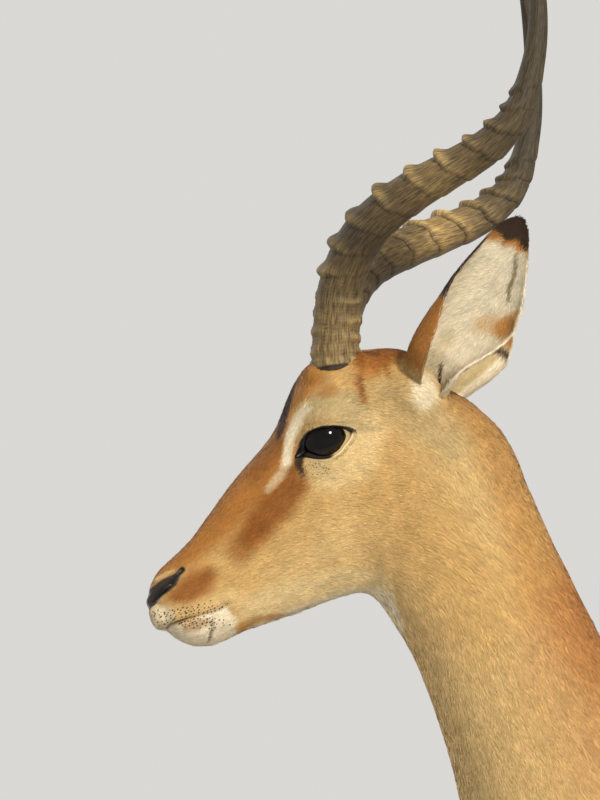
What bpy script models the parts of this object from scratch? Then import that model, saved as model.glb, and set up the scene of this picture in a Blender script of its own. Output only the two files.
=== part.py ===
"""A life-size standing impala ram: one flesh form parted into named pieces, with horns, eyes and claws.

Metres, +Z up. The animal faces -X, so its left side is towards -Y. The origin is on the floor, under the
middle of the box round the whole animal.
"""

import math

import bmesh
import bpy
from mathutils import Matrix, Vector

# ---------------------------------------------------------------- driving sizes

GAP = 0.0003  # clearance between two pieces that meet
VOXEL = 0.004  # cell of the remesh that joins the flesh masses
SMOOTHING = 6  # passes that round the creases where masses meet
SOFTENING = 45  # further passes at the places listed under SOFTEN
FLESH_FACES = 3950  # triangles of the parted flesh, before the cuts
RING = 28  # points round each cross section of a mass

MUZZLE = Vector((-0.62, 0.0, 1.135))  # head frame origin, at the front of the lips
HEAD_PITCH = math.radians(39)  # the head's long axis above the horizontal
HEAD_LEAN = math.radians(8.5)  # the crown leans to the animal's right
LEAN_PIVOT = 1.12  # height that the lean leaves in the middle plane
LEAN_STARTS, LEAN_ENDS = 0.84, 1.08  # heights between which the neck takes up the lean

EYE_RADIUS = 0.0190
EYE_AT = (0.1920, 0.0400, 0.0145)  # along the head, out to the side, up from its axis
EYE_TILT = math.radians(-17)  # the opening's long axis against the head's
EYE_OPENING = (0.0205, 0.0138)  # half length and half height between the lids
LID_RADIUS = 0.0217

CORONET = 0.042  # height where the claws meet the skin
CLAW_LENGTH, CLAW_WIDTH, CLAW_SPLIT, CLAW_ROOM = 0.054, 0.0165, 0.0015, 0.0008
CLAW_SIDES = 10
TOE_AHEAD = 0.013  # the toes reach this far ahead of the lowest skin
FORE_STANCE = {"left": -0.030, "right": 0.028}  # how far each foot stands fore or aft of its shoulder
HIND_STANCE = {"left": 0.035, "right": -0.030}

EAR_LENGTH, EAR_THICKNESS = 0.158, 0.0038
EAR_ROOT = (-0.400, 0.050, 1.302)  # x, out to the side, z
EAR_RISE, EAR_OUT, EAR_TURN = math.radians(58.5), math.radians(17), math.radians(14)

HORN_SIDES = 10
RIDGES, RIDGED_SHARE, RIDGE_HEIGHT = 15, 0.66, 0.0030
HORN_STATIONS = 1 + round(2 * RIDGES / RIDGED_SHARE)

# ---------------------------------------------------------------- tables of stations

# Each mass is a run of cross sections. A section crosses the middle plane at two points, upper and lower
# for trunk and head, rear and front for neck, front and rear for legs. "widest" is where along that line
# the half width is reached, and the two powers set how square each half is (2 is an ellipse).

# Head, in its own frame: u1, v1, u2, v2, half width, widest, power 1, power 2 (millimetres).
HEAD = [
    (3, 6, 1, -27, 9, 0.50, 2.0, 2.0),
    (9, 15, 6, -40, 18, 0.50, 2.2, 2.1),
    (19, 21, 17, -51, 22, 0.48, 2.3, 2.1),
    (32, 23, 30, -57, 24, 0.46, 2.2, 2.0),
    (52, 24, 49, -61, 26, 0.46, 2.1, 1.9),
    (76, 29, 73, -70, 29, 0.48, 2.1, 1.8),
    (100, 36, 97, -78, 34, 0.50, 2.1, 1.7),
    (125, 42, 121, -86, 40, 0.54, 2.1, 1.7),
    (150, 46, 143, -96, 46, 0.60, 2.2, 1.7),
    (170, 51, 160, -100, 50, 0.66, 2.2, 1.7),
    (190, 63, 177, -98, 51, 0.66, 2.1, 1.7),
    (210, 73, 195, -92, 51, 0.64, 2.3, 1.8),
    (228, 76, 213, -84, 50, 0.60, 2.6, 1.9),
    (250, 66, 232, -74, 49, 0.60, 2.7, 2.0),
    (270, 54, 250, -62, 48, 0.58, 2.6, 2.0),
    (289, 41, 270, -48, 42, 0.55, 2.3, 2.0),
    (304, 20, 290, -24, 26, 0.50, 2.0, 2.0),
]

# Neck, from inside the head to inside the trunk, measured from MUZZLE: rear x, z, front x, z, half width,
# widest, power 1, power 2 (millimetres).
NECK = [
    (212, 168, 140, 70, 40, 0.50, 2.0, 2.0),
    (246, 180, 160, 36, 49, 0.50, 2.0, 2.0),
    (276, 155, 180, 12, 53, 0.50, 2.0, 2.1),
    (300, 118, 196, -10, 53, 0.50, 2.0, 2.1),
    (320, 71, 207, -26, 52, 0.50, 2.0, 2.1),
    (343, 24, 218, -50, 52, 0.48, 2.0, 2.1),
    (367, -24, 233, -92, 54, 0.46, 1.9, 2.1),
    (398, -76, 250, -154, 60, 0.44, 1.9, 2.1),
    (441, -134, 265, -233, 72, 0.44, 1.8, 2.1),
    (500, -196, 276, -325, 88, 0.44, 1.8, 2.1),
    (565, -232, 288, -420, 98, 0.44, 1.8, 2.1),
    (640, -255, 340, -510, 96, 0.44, 1.8, 2.1),
]

# Trunk: x, top z, bottom z, half width, widest, power 1, power 2 (metres).
TRUNK = [
    (-0.345, 0.745, 0.665, 0.036, 0.50, 2.0, 2.0),
    (-0.318, 0.800, 0.602, 0.072, 0.48, 2.0, 2.0),
    (-0.270, 0.858, 0.560, 0.094, 0.46, 1.9, 2.1),
    (-0.200, 0.893, 0.537, 0.106, 0.44, 1.8, 2.2),
    (-0.100, 0.904, 0.527, 0.117, 0.43, 1.8, 2.2),
    (0.000, 0.893, 0.527, 0.130, 0.44, 1.9, 2.2),
    (0.120, 0.885, 0.543, 0.137, 0.45, 1.9, 2.2),
    (0.240, 0.890, 0.577, 0.128, 0.46, 1.9, 2.1),
    (0.340, 0.900, 0.612, 0.112, 0.48, 1.9, 2.0),
    (0.430, 0.897, 0.640, 0.102, 0.50, 2.0, 2.0),
    (0.510, 0.868, 0.660, 0.086, 0.52, 2.0, 2.0),
    (0.562, 0.822, 0.685, 0.062, 0.52, 2.0, 2.0),
    (0.588, 0.775, 0.715, 0.026, 0.50, 2.0, 2.0),
]

# Legs: height, front x, rear x, middle y, half width (metres).
FORELEG = [
    (0.815, -0.255, -0.125, 0.066, 0.022),
    (0.760, -0.300, -0.110, 0.078, 0.034),
    (0.690, -0.325, -0.105, 0.086, 0.042),
    (0.620, -0.304, -0.103, 0.089, 0.043),
    (0.565, -0.272, -0.120, 0.086, 0.038),
    (0.505, -0.246, -0.150, 0.081, 0.031),
    (0.430, -0.229, -0.166, 0.077, 0.0245),
    (0.360, -0.220, -0.175, 0.075, 0.0200),
    (0.318, -0.223, -0.175, 0.074, 0.0225),
    (0.285, -0.218, -0.177, 0.074, 0.0200),
    (0.250, -0.213, -0.181, 0.074, 0.0152),
    (0.175, -0.212, -0.182, 0.073, 0.0138),
    (0.128, -0.214, -0.177, 0.073, 0.0160),
    (0.100, -0.218, -0.172, 0.073, 0.0195),
    (0.078, -0.222, -0.179, 0.073, 0.0175),
    (0.055, -0.233, -0.188, 0.073, 0.0190),
    (0.034, -0.243, -0.191, 0.073, 0.0205),
]
HINDLEG = [
    (0.850, 0.400, 0.520, 0.046, 0.026),
    (0.790, 0.352, 0.578, 0.066, 0.044),
    (0.715, 0.334, 0.600, 0.079, 0.054),
    (0.640, 0.326, 0.596, 0.086, 0.055),
    (0.580, 0.336, 0.574, 0.089, 0.050),
    (0.525, 0.365, 0.556, 0.089, 0.041),
    (0.470, 0.408, 0.548, 0.087, 0.032),
    (0.415, 0.457, 0.549, 0.085, 0.0240),
    (0.375, 0.490, 0.557, 0.084, 0.0200),
    (0.345, 0.503, 0.561, 0.083, 0.0215),
    (0.310, 0.509, 0.553, 0.083, 0.0210),
    (0.270, 0.511, 0.545, 0.082, 0.0172),
    (0.200, 0.509, 0.541, 0.081, 0.0145),
    (0.138, 0.506, 0.541, 0.080, 0.0155),
    (0.107, 0.501, 0.547, 0.080, 0.0200),
    (0.082, 0.495, 0.539, 0.080, 0.0178),
    (0.057, 0.485, 0.531, 0.080, 0.0192),
    (0.034, 0.475, 0.528, 0.080, 0.0208),
]

# Tail, root to tip: outer x, z, inner x, z, half width (metres).
TAIL = [
    (0.530, 0.858, 0.520, 0.815, 0.018),
    (0.580, 0.838, 0.560, 0.800, 0.021),
    (0.622, 0.800, 0.596, 0.780, 0.022),
    (0.642, 0.740, 0.613, 0.735, 0.023),
    (0.648, 0.680, 0.616, 0.680, 0.026),
    (0.650, 0.625, 0.617, 0.625, 0.028),
    (0.646, 0.575, 0.618, 0.575, 0.022),
    (0.638, 0.545, 0.624, 0.545, 0.009),
]

# Places softened once more after the masses are joined: x, out to the side, z, radius (metres).
SOFTEN = [
    (-0.400, 0.045, 1.215, 0.085),
    (-0.440, 0.040, 1.120, 0.060),
    (-0.395, 0.000, 1.300, 0.060),
    (-0.280, 0.060, 0.840, 0.150),
    (-0.330, 0.040, 0.700, 0.090),
    (-0.110, 0.080, 0.640, 0.130),
    (-0.200, 0.050, 0.540, 0.080),
    (0.340, 0.090, 0.680, 0.110),
    (0.420, 0.060, 0.850, 0.120),
    (0.560, 0.030, 0.800, 0.070),
    (0.450, 0.040, 0.570, 0.080),
]

# Horn: x, out to the side, z, radius (metres).
HORN = [
    (-0.466, 0.0270, 1.310, 0.0190),
    (-0.4705, 0.0295, 1.334, 0.0190),
    (-0.4705, 0.0345, 1.362, 0.0187),
    (-0.467, 0.0440, 1.390, 0.0187),
    (-0.457, 0.0590, 1.416, 0.0187),
    (-0.440, 0.0780, 1.437, 0.0184),
    (-0.412, 0.0980, 1.455, 0.0174),
    (-0.380, 0.1130, 1.471, 0.0158),
    (-0.350, 0.1230, 1.488, 0.0142),
    (-0.328, 0.1300, 1.511, 0.0124),
    (-0.317, 0.1340, 1.541, 0.0100),
    (-0.3110, 0.1350, 1.575, 0.0082),
    (-0.3105, 0.1330, 1.612, 0.0066),
    (-0.3150, 0.1280, 1.660, 0.0050),
    (-0.3250, 0.1190, 1.718, 0.0026),
]

# Ear, root to tip: share of its length, front edge, rear edge (millimetres from its axis), wrap in degrees
# (over 90 the margins curl in), depth of the cup against its half width.
EAR = [
    (0.00, -19, 9, 150, 1.00),
    (0.10, -24, 12, 146, 0.95),
    (0.20, -28, 16, 138, 0.85),
    (0.32, -29, 24, 122, 0.72),
    (0.45, -28, 29, 104, 0.58),
    (0.58, -25, 29, 92, 0.48),
    (0.72, -21, 24, 82, 0.42),
    (0.85, -15, 17, 74, 0.36),
    (0.94, -10, 11, 66, 0.32),
    (1.00, -4, 4, 60, 0.30),
]

# Claw of a hoof, sole to coronet: share of its height, where toe and heel are as shares of its length, and
# its share of the full width.
CLAW = [
    (0.00, 0.00, 1.00, 1.00),
    (0.30, 0.06, 0.99, 1.00),
    (0.68, 0.20, 0.98, 0.98),
    (1.00, 0.32, 0.97, 0.93),
]

# ---------------------------------------------------------------- curves and frames


def spline(rows, count):
    """Rows of numbers resampled at count even steps of a Catmull-Rom curve through them."""
    out = []
    last = len(rows) - 1
    for k in range(count):
        place = k * last / (count - 1)
        i = min(int(place), last - 1)
        t = place - i
        p = [rows[max(0, min(last, i + j))] for j in (-1, 0, 1, 2)]
        out.append(
            tuple(
                0.5 * (2 * b + (c - a) * t + (2 * a - 5 * b + 4 * c - d) * t * t + (3 * b - a - 3 * c + d) * t**3)
                for a, b, c, d in zip(*p)
            )
        )
    return out


def head_point(u, side, v):
    """A point given along the head, out to its right side and up from its axis, before the lean."""
    c, s = math.cos(HEAD_PITCH), math.sin(HEAD_PITCH)
    return MUZZLE + Vector((u * c - v * s, side, u * s + v * c))


def leaned(p):
    """The point turned about a line along X, by the share of the lean that its height has."""
    t = max(0.0, min(1.0, (p.z - LEAN_STARTS) / (LEAN_ENDS - LEAN_STARTS)))
    angle = HEAD_LEAN * t * t * (3 - 2 * t)
    c, s = math.cos(angle), math.sin(angle)
    up = p.z - LEAN_PIVOT
    return Vector((p.x, p.y * c + up * s, LEAN_PIVOT + up * c - p.y * s))


def power(value, exponent):
    return math.copysign(abs(value) ** exponent, value)


def section(first, second, half_width, widest, power_1, power_2, middle_y=0.0):
    """A closed ring through two points of a side view, half_width out to each side at the widest place."""
    ring = []
    centre = second.lerp(first, widest)
    for k in range(RING):
        a = 2 * math.pi * k / RING
        to, square = (first, power_1) if math.cos(a) >= 0 else (second, power_2)
        p = centre + (to - centre) * abs(math.cos(a)) ** (2 / square)
        p.y = middle_y + half_width * power(math.sin(a), 2 / square)
        ring.append(p)
    return ring


def loft(bm, rings):
    """Skins the rings in turn and closes both ends."""
    rows = [[bm.verts.new(p) for p in ring] for ring in rings]
    faces = []
    for a, b in zip(rows, rows[1:]):
        n = len(a)
        for k in range(n):
            faces.append(bm.faces.new((a[k], a[(k + 1) % n], b[(k + 1) % n], b[k])))
    faces.append(bm.faces.new(rows[0]))
    faces.append(bm.faces.new(rows[-1]))
    bmesh.ops.recalc_face_normals(bm, faces=faces)


# ---------------------------------------------------------------- objects


def material(name, colour, roughness):
    found = bpy.data.materials.new(name)
    found.use_nodes = True
    shader = found.node_tree.nodes["Principled BSDF"]
    shader.inputs["Base Color"].default_value = (*colour, 1.0)
    shader.inputs["Roughness"].default_value = roughness
    shader.inputs["Metallic"].default_value = 0.0
    found.diffuse_color = (*colour, 1.0)
    return found


def add_object(name, mesh, finish=None, helper=False):
    made = bpy.data.objects.new(name, mesh)
    bpy.context.scene.collection.objects.link(made)
    if finish is not None:
        mesh.materials.clear()
        mesh.materials.append(finish)
    if helper:
        made.hide_render = True
        made.display_type = "WIRE"
    return made


def mesh_of(bm, name):
    mesh = bpy.data.meshes.new(name)
    bm.to_mesh(mesh)
    bm.free()
    return mesh


def evaluated(obj):
    graph = bpy.context.evaluated_depsgraph_get()
    return bpy.data.meshes.new_from_object(obj.evaluated_get(graph))


def boolean(obj, operation, other):
    modifier = obj.modifiers.new(f"{operation.lower()} {other.name}", "BOOLEAN")
    modifier.operation = operation
    modifier.solver = "EXACT"
    modifier.object = other


def move_points(mesh, change):
    for vertex in mesh.vertices:
        vertex.co = change(vertex.co)


# ---------------------------------------------------------------- masses of the flesh


def add_head(bm):
    mm = 0.001
    rings = []
    for u1, v1, u2, v2, wide, widest, p1, p2 in spline(HEAD, 44):
        ends = head_point(u1 * mm, 0, v1 * mm), head_point(u2 * mm, 0, v2 * mm)
        rings.append(section(*ends, wide * mm, widest, p1, p2))
    loft(bm, rings)
    for side in (-1, 1):
        u, out, v = EYE_AT
        turn = Matrix.Translation(head_point(u, side * out, v))
        bmesh.ops.create_uvsphere(bm, u_segments=24, v_segments=16, radius=LID_RADIUS, matrix=turn)


def add_neck(bm):
    mm = 0.001
    rings = []
    for x1, z1, x2, z2, wide, widest, p1, p2 in spline(NECK, 36):
        rear, front = (MUZZLE + Vector((x * mm, 0, z * mm)) for x, z in ((x1, z1), (x2, z2)))
        rings.append(section(rear, front, wide * mm, widest, p1, p2))
    loft(bm, rings)


def add_trunk(bm):
    rings = []
    for x, top, bottom, wide, widest, p1, p2 in spline(TRUNK, 44):
        rings.append(section(Vector((x, 0, top)), Vector((x, 0, bottom)), wide, widest, p1, p2))
    loft(bm, rings)


def add_leg(bm, rows, side, stance):
    """One leg. Its foot stands stance away from under the shoulder or hip, and the leg slants to it."""
    top = rows[0][0]
    rings = []
    for z, front, rear, middle, wide in spline(rows, 3 * len(rows)):
        slant = stance * (1 - max(z, CORONET) / top)
        ends = (Vector((x + slant, 0, z)) for x in (front, rear))
        rings.append(section(*ends, wide, 0.5, 2.1, 2.1, side * middle))
    loft(bm, rings)


def add_tail(bm):
    rings = []
    for x1, z1, x2, z2, wide in spline(TAIL, 26):
        rings.append(section(Vector((x1, 0, z1)), Vector((x2, 0, z2)), wide, 0.5, 2.0, 2.0))
    loft(bm, rings)


def add_underline(bm):
    """The sheath along the belly and the scrotum between the thighs."""
    sheath = Matrix.Translation((0.235, 0, 0.578)) @ Matrix.Rotation(math.radians(-16), 4, "Y")
    sheath @= Matrix.Diagonal((0.062, 0.015, 0.019, 1))
    scrotum = Matrix.Translation((0.405, 0, 0.600)) @ Matrix.Diagonal((0.026, 0.027, 0.052, 1))
    for place in (sheath, scrotum):
        bmesh.ops.create_uvsphere(bm, u_segments=20, v_segments=14, radius=1.0, matrix=place)


def softness(p):
    """0 to 1: how near the point is to a place listed under SOFTEN, on either side."""
    best = 0.0
    for x, out, z, radius in SOFTEN:
        far = math.dist((p.x, abs(p.y), p.z), (x, out, z)) / radius
        best = max(best, 1 - far * far)
    return min(1.0, 1.6 * best)


def joined_flesh():
    """All masses in one closed skin, rounded where they meet, leaned, and thinned to the wanted faces."""
    bm = bmesh.new()
    add_head(bm)
    add_neck(bm)
    add_trunk(bm)
    for side, sign in (("left", -1), ("right", 1)):
        add_leg(bm, FORELEG, sign, FORE_STANCE[side])
        add_leg(bm, HINDLEG, sign, HIND_STANCE[side])
    add_tail(bm)
    add_underline(bm)
    masses = add_object("masses", mesh_of(bm, "masses"), helper=True)
    remesh = masses.modifiers.new("join the masses", "REMESH")
    remesh.mode = "VOXEL"
    remesh.voxel_size = VOXEL
    smooth = masses.modifiers.new("round the creases", "SMOOTH")
    smooth.factor = 0.5
    smooth.iterations = SMOOTHING
    mesh = evaluated(masses)
    bpy.data.objects.remove(masses)
    flesh = add_object("flesh", mesh, helper=True)
    soft = flesh.vertex_groups.new(name="soften")
    for vertex in mesh.vertices:
        soft.add([vertex.index], softness(vertex.co), "REPLACE")
    soften = flesh.modifiers.new("soften", "SMOOTH")
    soften.factor = 0.6
    soften.iterations = SOFTENING
    soften.vertex_group = soft.name
    mesh = evaluated(flesh)
    bpy.data.objects.remove(flesh)
    move_points(mesh, leaned)
    flesh = add_object("softened", mesh, helper=True)
    detail = flesh.vertex_groups.new(name="thin these first")
    for vertex in mesh.vertices:
        on_head = vertex.co.z > 1.08 and vertex.co.x < -0.36
        slender = vertex.co.z < 0.50 or vertex.co.z > 0.95 or vertex.co.x > 0.60
        detail.add([vertex.index], 0.5 if on_head else 0.75 if slender else 1.0, "REPLACE")
    thin = flesh.modifiers.new("thin", "DECIMATE")
    thin.ratio = FLESH_FACES / (2 * len(mesh.polygons))
    thin.vertex_group = detail.name
    thin.vertex_group_factor = 0.8
    thin.use_collapse_triangulate = True
    thinned = evaluated(flesh)
    bpy.data.objects.remove(flesh)
    return thinned


# ---------------------------------------------------------------- eyes, horns, ears, claws


def eye_frame(side):
    """Places a shape at the eye: +X along the opening to its rear corner, +Z out of the head."""
    u, out, v = EYE_AT
    along = Vector((math.cos(HEAD_PITCH + EYE_TILT), 0, math.sin(HEAD_PITCH + EYE_TILT)))
    outward = Vector((0, side, 0))
    frame = Matrix((along, outward.cross(along), outward)).transposed().to_4x4()
    return Matrix.Translation(head_point(u, side * out, v)) @ frame


def ball(name, side, radius, **options):
    bm = bmesh.new()
    bmesh.ops.create_icosphere(bm, subdivisions=3, radius=radius, matrix=eye_frame(side))
    mesh = mesh_of(bm, name)
    move_points(mesh, leaned)
    return add_object(name, mesh, **options)


def lid_cutter(name, side):
    """An almond funnel that opens the lids over the eyeball."""
    bm = bmesh.new()
    long, high = EYE_OPENING
    rings = []
    for depth, wider in ((0.004, 0.72), (0.030, 1.12)):
        ring = []
        for k in range(24):
            a = 2 * math.pi * k / 24
            x = math.cos(a) * long * wider
            y = power(math.sin(a), 1.25) * high * wider
            ring.append(eye_frame(side) @ Vector((x, y, depth)))
        rings.append(ring)
    loft(bm, rings)
    mesh = mesh_of(bm, name)
    move_points(mesh, leaned)
    return add_object(name, mesh, helper=True)


def horn_rings(side):
    rings = []
    rows = spline(HORN, HORN_STATIONS)
    for k, (x, out, z, radius) in enumerate(rows):
        ahead, behind = rows[min(k + 1, HORN_STATIONS - 1)], rows[max(k - 1, 0)]
        along = Vector((ahead[0] - behind[0], side * (ahead[1] - behind[1]), ahead[2] - behind[2])).normalized()
        share = k / (HORN_STATIONS - 1)
        ridged = max(0.0, 1 - (share / RIDGED_SHARE) ** 6)
        wave = share * RIDGES / RIDGED_SHARE % 1.0
        swell = RIDGE_HEIGHT * ridged * math.sin(math.pi * wave) ** 2
        ahead_side = Vector((-1, 0, 0.35)) - along * Vector((-1, 0, 0.35)).dot(along)
        ahead_side.normalize()
        beside = along.cross(ahead_side)
        ring = []
        for j in range(HORN_SIDES):
            a = 2 * math.pi * j / HORN_SIDES
            face = 0.35 + 0.65 * (0.5 + 0.5 * math.cos(a))
            reach = radius + swell * face
            ring.append(Vector((x, side * out, z)) + (ahead_side * math.cos(a) + beside * math.sin(a)) * reach)
        rings.append(ring)
    return rings


def horn(name, side, finish):
    bm = bmesh.new()
    loft(bm, horn_rings(side))
    mesh = mesh_of(bm, name)
    move_points(mesh, leaned)
    return add_object(name, mesh, finish)


def ear(name, side, finish):
    """A cupped leaf. Each cross section is an arc, open outwards and a little to the rear."""
    axis = Vector(
        (math.cos(EAR_RISE) * math.cos(EAR_OUT), side * math.sin(EAR_OUT), math.sin(EAR_RISE) * math.cos(EAR_OUT))
    )
    across = Vector((math.sin(EAR_RISE), 0, -math.cos(EAR_RISE)))
    across = Matrix.Rotation(side * EAR_TURN, 3, axis) @ across
    back = axis.cross(across)
    if back.y * side > 0:
        back.negate()
    bm = bmesh.new()
    rows = []
    columns = 8
    for share, front, rear, wrap, cup in spline(EAR, 11):
        half, middle = (rear - front) / 2000, (rear + front) / 2000
        angle = math.radians(wrap)
        radius = half / math.sin(min(angle, math.pi / 2))
        row = []
        for k in range(columns + 1):
            a = angle * (2 * k / columns - 1)
            p = Vector((EAR_ROOT[0], side * EAR_ROOT[1], EAR_ROOT[2])) + axis * (share * EAR_LENGTH)
            p += across * (middle + radius * math.sin(a))
            p += back * (radius * cup * (math.cos(a) - math.cos(min(angle, math.pi / 2))))
            row.append(bm.verts.new(p))
        rows.append(row)
    for a, b in zip(rows, rows[1:]):
        for k in range(columns):
            bm.faces.new((a[k], a[k + 1], b[k + 1], b[k]))
    bmesh.ops.recalc_face_normals(bm, faces=bm.faces)
    mesh = mesh_of(bm, name)
    move_points(mesh, leaned)
    made = add_object(name, mesh, finish)
    wall = made.modifiers.new("wall", "SOLIDIFY")
    wall.thickness = EAR_THICKNESS
    wall.offset = 0.0
    return made


def hoof_claw(name, front_x, middle_y, side, stance, finish):
    """One claw of a cloven hoof: flat sole, pointed toe, sloping front wall. side is -1 or 1, away from its twin."""
    bm = bmesh.new()
    rings = []
    for height, toe, heel, wide in CLAW:
        ring = []
        for k in range(CLAW_SIDES):
            a = 2 * math.pi * k / CLAW_SIDES
            share = 0.5 - 0.5 * math.cos(a)
            x = front_x + stance + CLAW_LENGTH * (toe + (heel - toe) * share)
            bulge = math.sin(a) * (0.55 + 0.45 * share)
            y = middle_y + side * (CLAW_SPLIT + CLAW_WIDTH / 2) + CLAW_WIDTH / 2 * wide * bulge
            ring.append(Vector((x, y, height * (CORONET - CLAW_ROOM))))
        rings.append(ring)
    loft(bm, rings)
    return add_object(name, mesh_of(bm, name), finish)


# ---------------------------------------------------------------- cuts

HEAD_CUT = ((-0.405, 0.0, 1.185), (-0.62, 0.0, 0.78))  # point and upward normal of the cut behind the jaw
NECK_CUT = ((-0.270, 0.0, 0.900), (-0.52, 0.0, 0.85))
TAIL_BLOCK = ((0.597, -0.036, 0.500), (0.700, 0.036, 0.900))
LEG_BLOCKS = {  # low and high corner of the block that holds each leg, on the left side
    "foreleg": ((-0.40, -0.20, -0.10), (-0.04, -0.012, 0.515)),
    "hindleg": ((0.316, -0.22, -0.10), (0.608, -0.030, 0.592)),
}


def block(name, low, high, turn=None, grow=0.0):
    """A box between two corners, turned about its middle and grown on every side. It is a cutter."""
    low, high = Vector(low), Vector(high)
    bm = bmesh.new()
    size = high - low + Vector((2 * grow,) * 3)
    bmesh.ops.create_cube(bm, size=1.0, matrix=Matrix.Diagonal((*size, 1)))
    if turn is not None:
        bmesh.ops.transform(bm, matrix=turn.to_4x4(), verts=bm.verts)
    bmesh.ops.translate(bm, vec=(low + high) / 2, verts=bm.verts)
    return add_object(name, mesh_of(bm, name), helper=True)


def slab_above(name, point, normal, grow=0.0):
    """A large block whose flat underside passes through point, square to normal: it holds what is above."""
    reach = 1.2
    normal = Vector(normal).normalized()
    turn = normal.to_track_quat("Z", "Y").to_matrix()
    centre = Vector(point) + normal * (reach / 2 - grow)
    low, high = centre - Vector((reach / 2,) * 3), centre + Vector((reach / 2,) * 3)
    return block(name, low, high, turn)


def mirrored(corners):
    (x1, y1, z1), (x2, y2, z2) = corners
    return (x1, -y2, z1), (x2, -y1, z2)


def part_flesh(flesh, finishes):
    """Parts the one flesh form with thin cuts into head, neck, trunk, tail and four legs."""
    legs = {}
    for kind, corners in LEG_BLOCKS.items():
        legs[f"{kind}_left"] = corners
        legs[f"{kind}_right"] = mirrored(corners)
    pieces = {}
    for name in ("head", "neck", "trunk", "tail", *legs):
        pieces[name] = add_object(name, flesh.copy(), finishes["coat"])
    head_only, head_wide = slab_above("head_only", *HEAD_CUT), slab_above("head_wide", *HEAD_CUT, GAP)
    neck_only, neck_wide = slab_above("neck_only", *NECK_CUT), slab_above("neck_wide", *NECK_CUT, GAP)
    tail_only, tail_wide = block("tail_only", *TAIL_BLOCK), block("tail_wide", *TAIL_BLOCK, grow=GAP)
    boolean(pieces["head"], "INTERSECT", head_only)
    boolean(pieces["neck"], "INTERSECT", neck_only)
    boolean(pieces["neck"], "DIFFERENCE", head_wide)
    boolean(pieces["tail"], "INTERSECT", tail_only)
    boolean(pieces["trunk"], "DIFFERENCE", neck_wide)
    boolean(pieces["trunk"], "DIFFERENCE", tail_wide)
    coronet = block("above_coronet", (-1, -1, CORONET), (1, 1, 2))
    for name, corners in legs.items():
        boolean(pieces[name], "INTERSECT", block(f"{name}_block", *corners))
        boolean(pieces[name], "INTERSECT", coronet)
        boolean(pieces["trunk"], "DIFFERENCE", block(f"{name}_room", *corners, grow=GAP))
    return pieces


def grown_copy(name, source, by):
    """A copy of a piece with its surface moved out, for cutting room for it from its neighbour."""
    cutter = add_object(name, source.data.copy(), helper=True)
    for modifier in source.modifiers:
        if modifier.type == "SOLIDIFY":
            twin = cutter.modifiers.new(modifier.name, modifier.type)
            twin.thickness, twin.offset = modifier.thickness + 2 * by, modifier.offset
            return cutter
    swell = cutter.modifiers.new("swell", "DISPLACE")
    swell.strength, swell.mid_level = by, 0.0
    return cutter


def centre_on_floor():
    """Moves everything so that the origin is on the floor under the middle of the animal's box."""
    bpy.context.view_layer.update()
    graph = bpy.context.evaluated_depsgraph_get()
    shown = [o for o in bpy.context.scene.objects if not o.hide_render]
    points = [v.co for o in shown for v in o.evaluated_get(graph).to_mesh().vertices]
    low = Vector(min(p[i] for p in points) for i in range(3))
    high = Vector(max(p[i] for p in points) for i in range(3))
    middle = (low + high) / 2
    for o in bpy.context.scene.objects:
        o.data.transform(Matrix.Translation((-middle.x, -middle.y, -low.z)))


def main():
    for old in list(bpy.data.objects):
        bpy.data.objects.remove(old)
    finishes = {
        "coat": material("coat", (0.55, 0.32, 0.13), 0.75),
        "horn": material("horn", (0.14, 0.105, 0.07), 0.60),
        "eye": material("eye", (0.012, 0.009, 0.007), 0.08),
        "hoof": material("hoof", (0.03, 0.026, 0.023), 0.45),
    }
    flesh = joined_flesh()
    pieces = part_flesh(flesh, finishes)
    room_for_ears = grown_copy("flesh_for_ears", add_object("flesh_only", flesh.copy(), helper=True), GAP)
    for side, sign in (("left", -1), ("right", 1)):
        ball(f"eye_{side}", sign, EYE_RADIUS, finish=finishes["eye"])
        boolean(pieces["head"], "DIFFERENCE", lid_cutter(f"lids_{side}", sign))
        boolean(pieces["head"], "DIFFERENCE", ball(f"socket_{side}", sign, EYE_RADIUS + 2 * GAP, helper=True))
        antler = horn(f"horn_{side}", sign, finishes["horn"])
        boolean(antler, "DIFFERENCE", room_for_ears)
        boolean(ear(f"ear_{side}", sign, finishes["coat"]), "DIFFERENCE", room_for_ears)
        for foot, rows, stance in (("fore", FORELEG, FORE_STANCE), ("hind", HINDLEG, HIND_STANCE)):
            _, front, _, middle, _ = rows[-1]
            slant = stance[side] * (1 - CORONET / rows[0][0])
            for place, outward in (("inner", -sign), ("outer", sign)):
                name = f"hoof_{foot}_{side}_{place}"
                hoof_claw(name, front - TOE_AHEAD, sign * middle, outward, slant, finishes["hoof"])
    centre_on_floor()


main()
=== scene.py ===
"""A life-size impala ram: skin, coat, horns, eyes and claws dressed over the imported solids."""

import functools
import math

import bpy
import numpy as np
from bpy.props import FloatProperty, FloatVectorProperty, PointerProperty
from bpy.types import Operator, Panel, PropertyGroup
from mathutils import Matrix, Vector
from mathutils.bvhtree import BVHTree


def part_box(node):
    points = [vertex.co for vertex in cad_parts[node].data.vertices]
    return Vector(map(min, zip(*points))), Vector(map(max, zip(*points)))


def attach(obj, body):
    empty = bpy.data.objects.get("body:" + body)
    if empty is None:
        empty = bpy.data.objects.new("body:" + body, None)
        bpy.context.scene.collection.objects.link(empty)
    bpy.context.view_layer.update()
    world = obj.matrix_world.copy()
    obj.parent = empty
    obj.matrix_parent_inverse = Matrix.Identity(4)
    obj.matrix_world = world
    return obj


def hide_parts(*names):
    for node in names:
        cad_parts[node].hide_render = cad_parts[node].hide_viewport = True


bl_info = {
    "name": "Impala ram",
    "version": (1, 0, 0),
    "blender": (4, 5, 0),
    "location": "3D View > Sidebar > Impala",
    "description": "Builds the skin, coat, horns, eyes and claws of a standing impala ram",
    "category": "Object",
}

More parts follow.
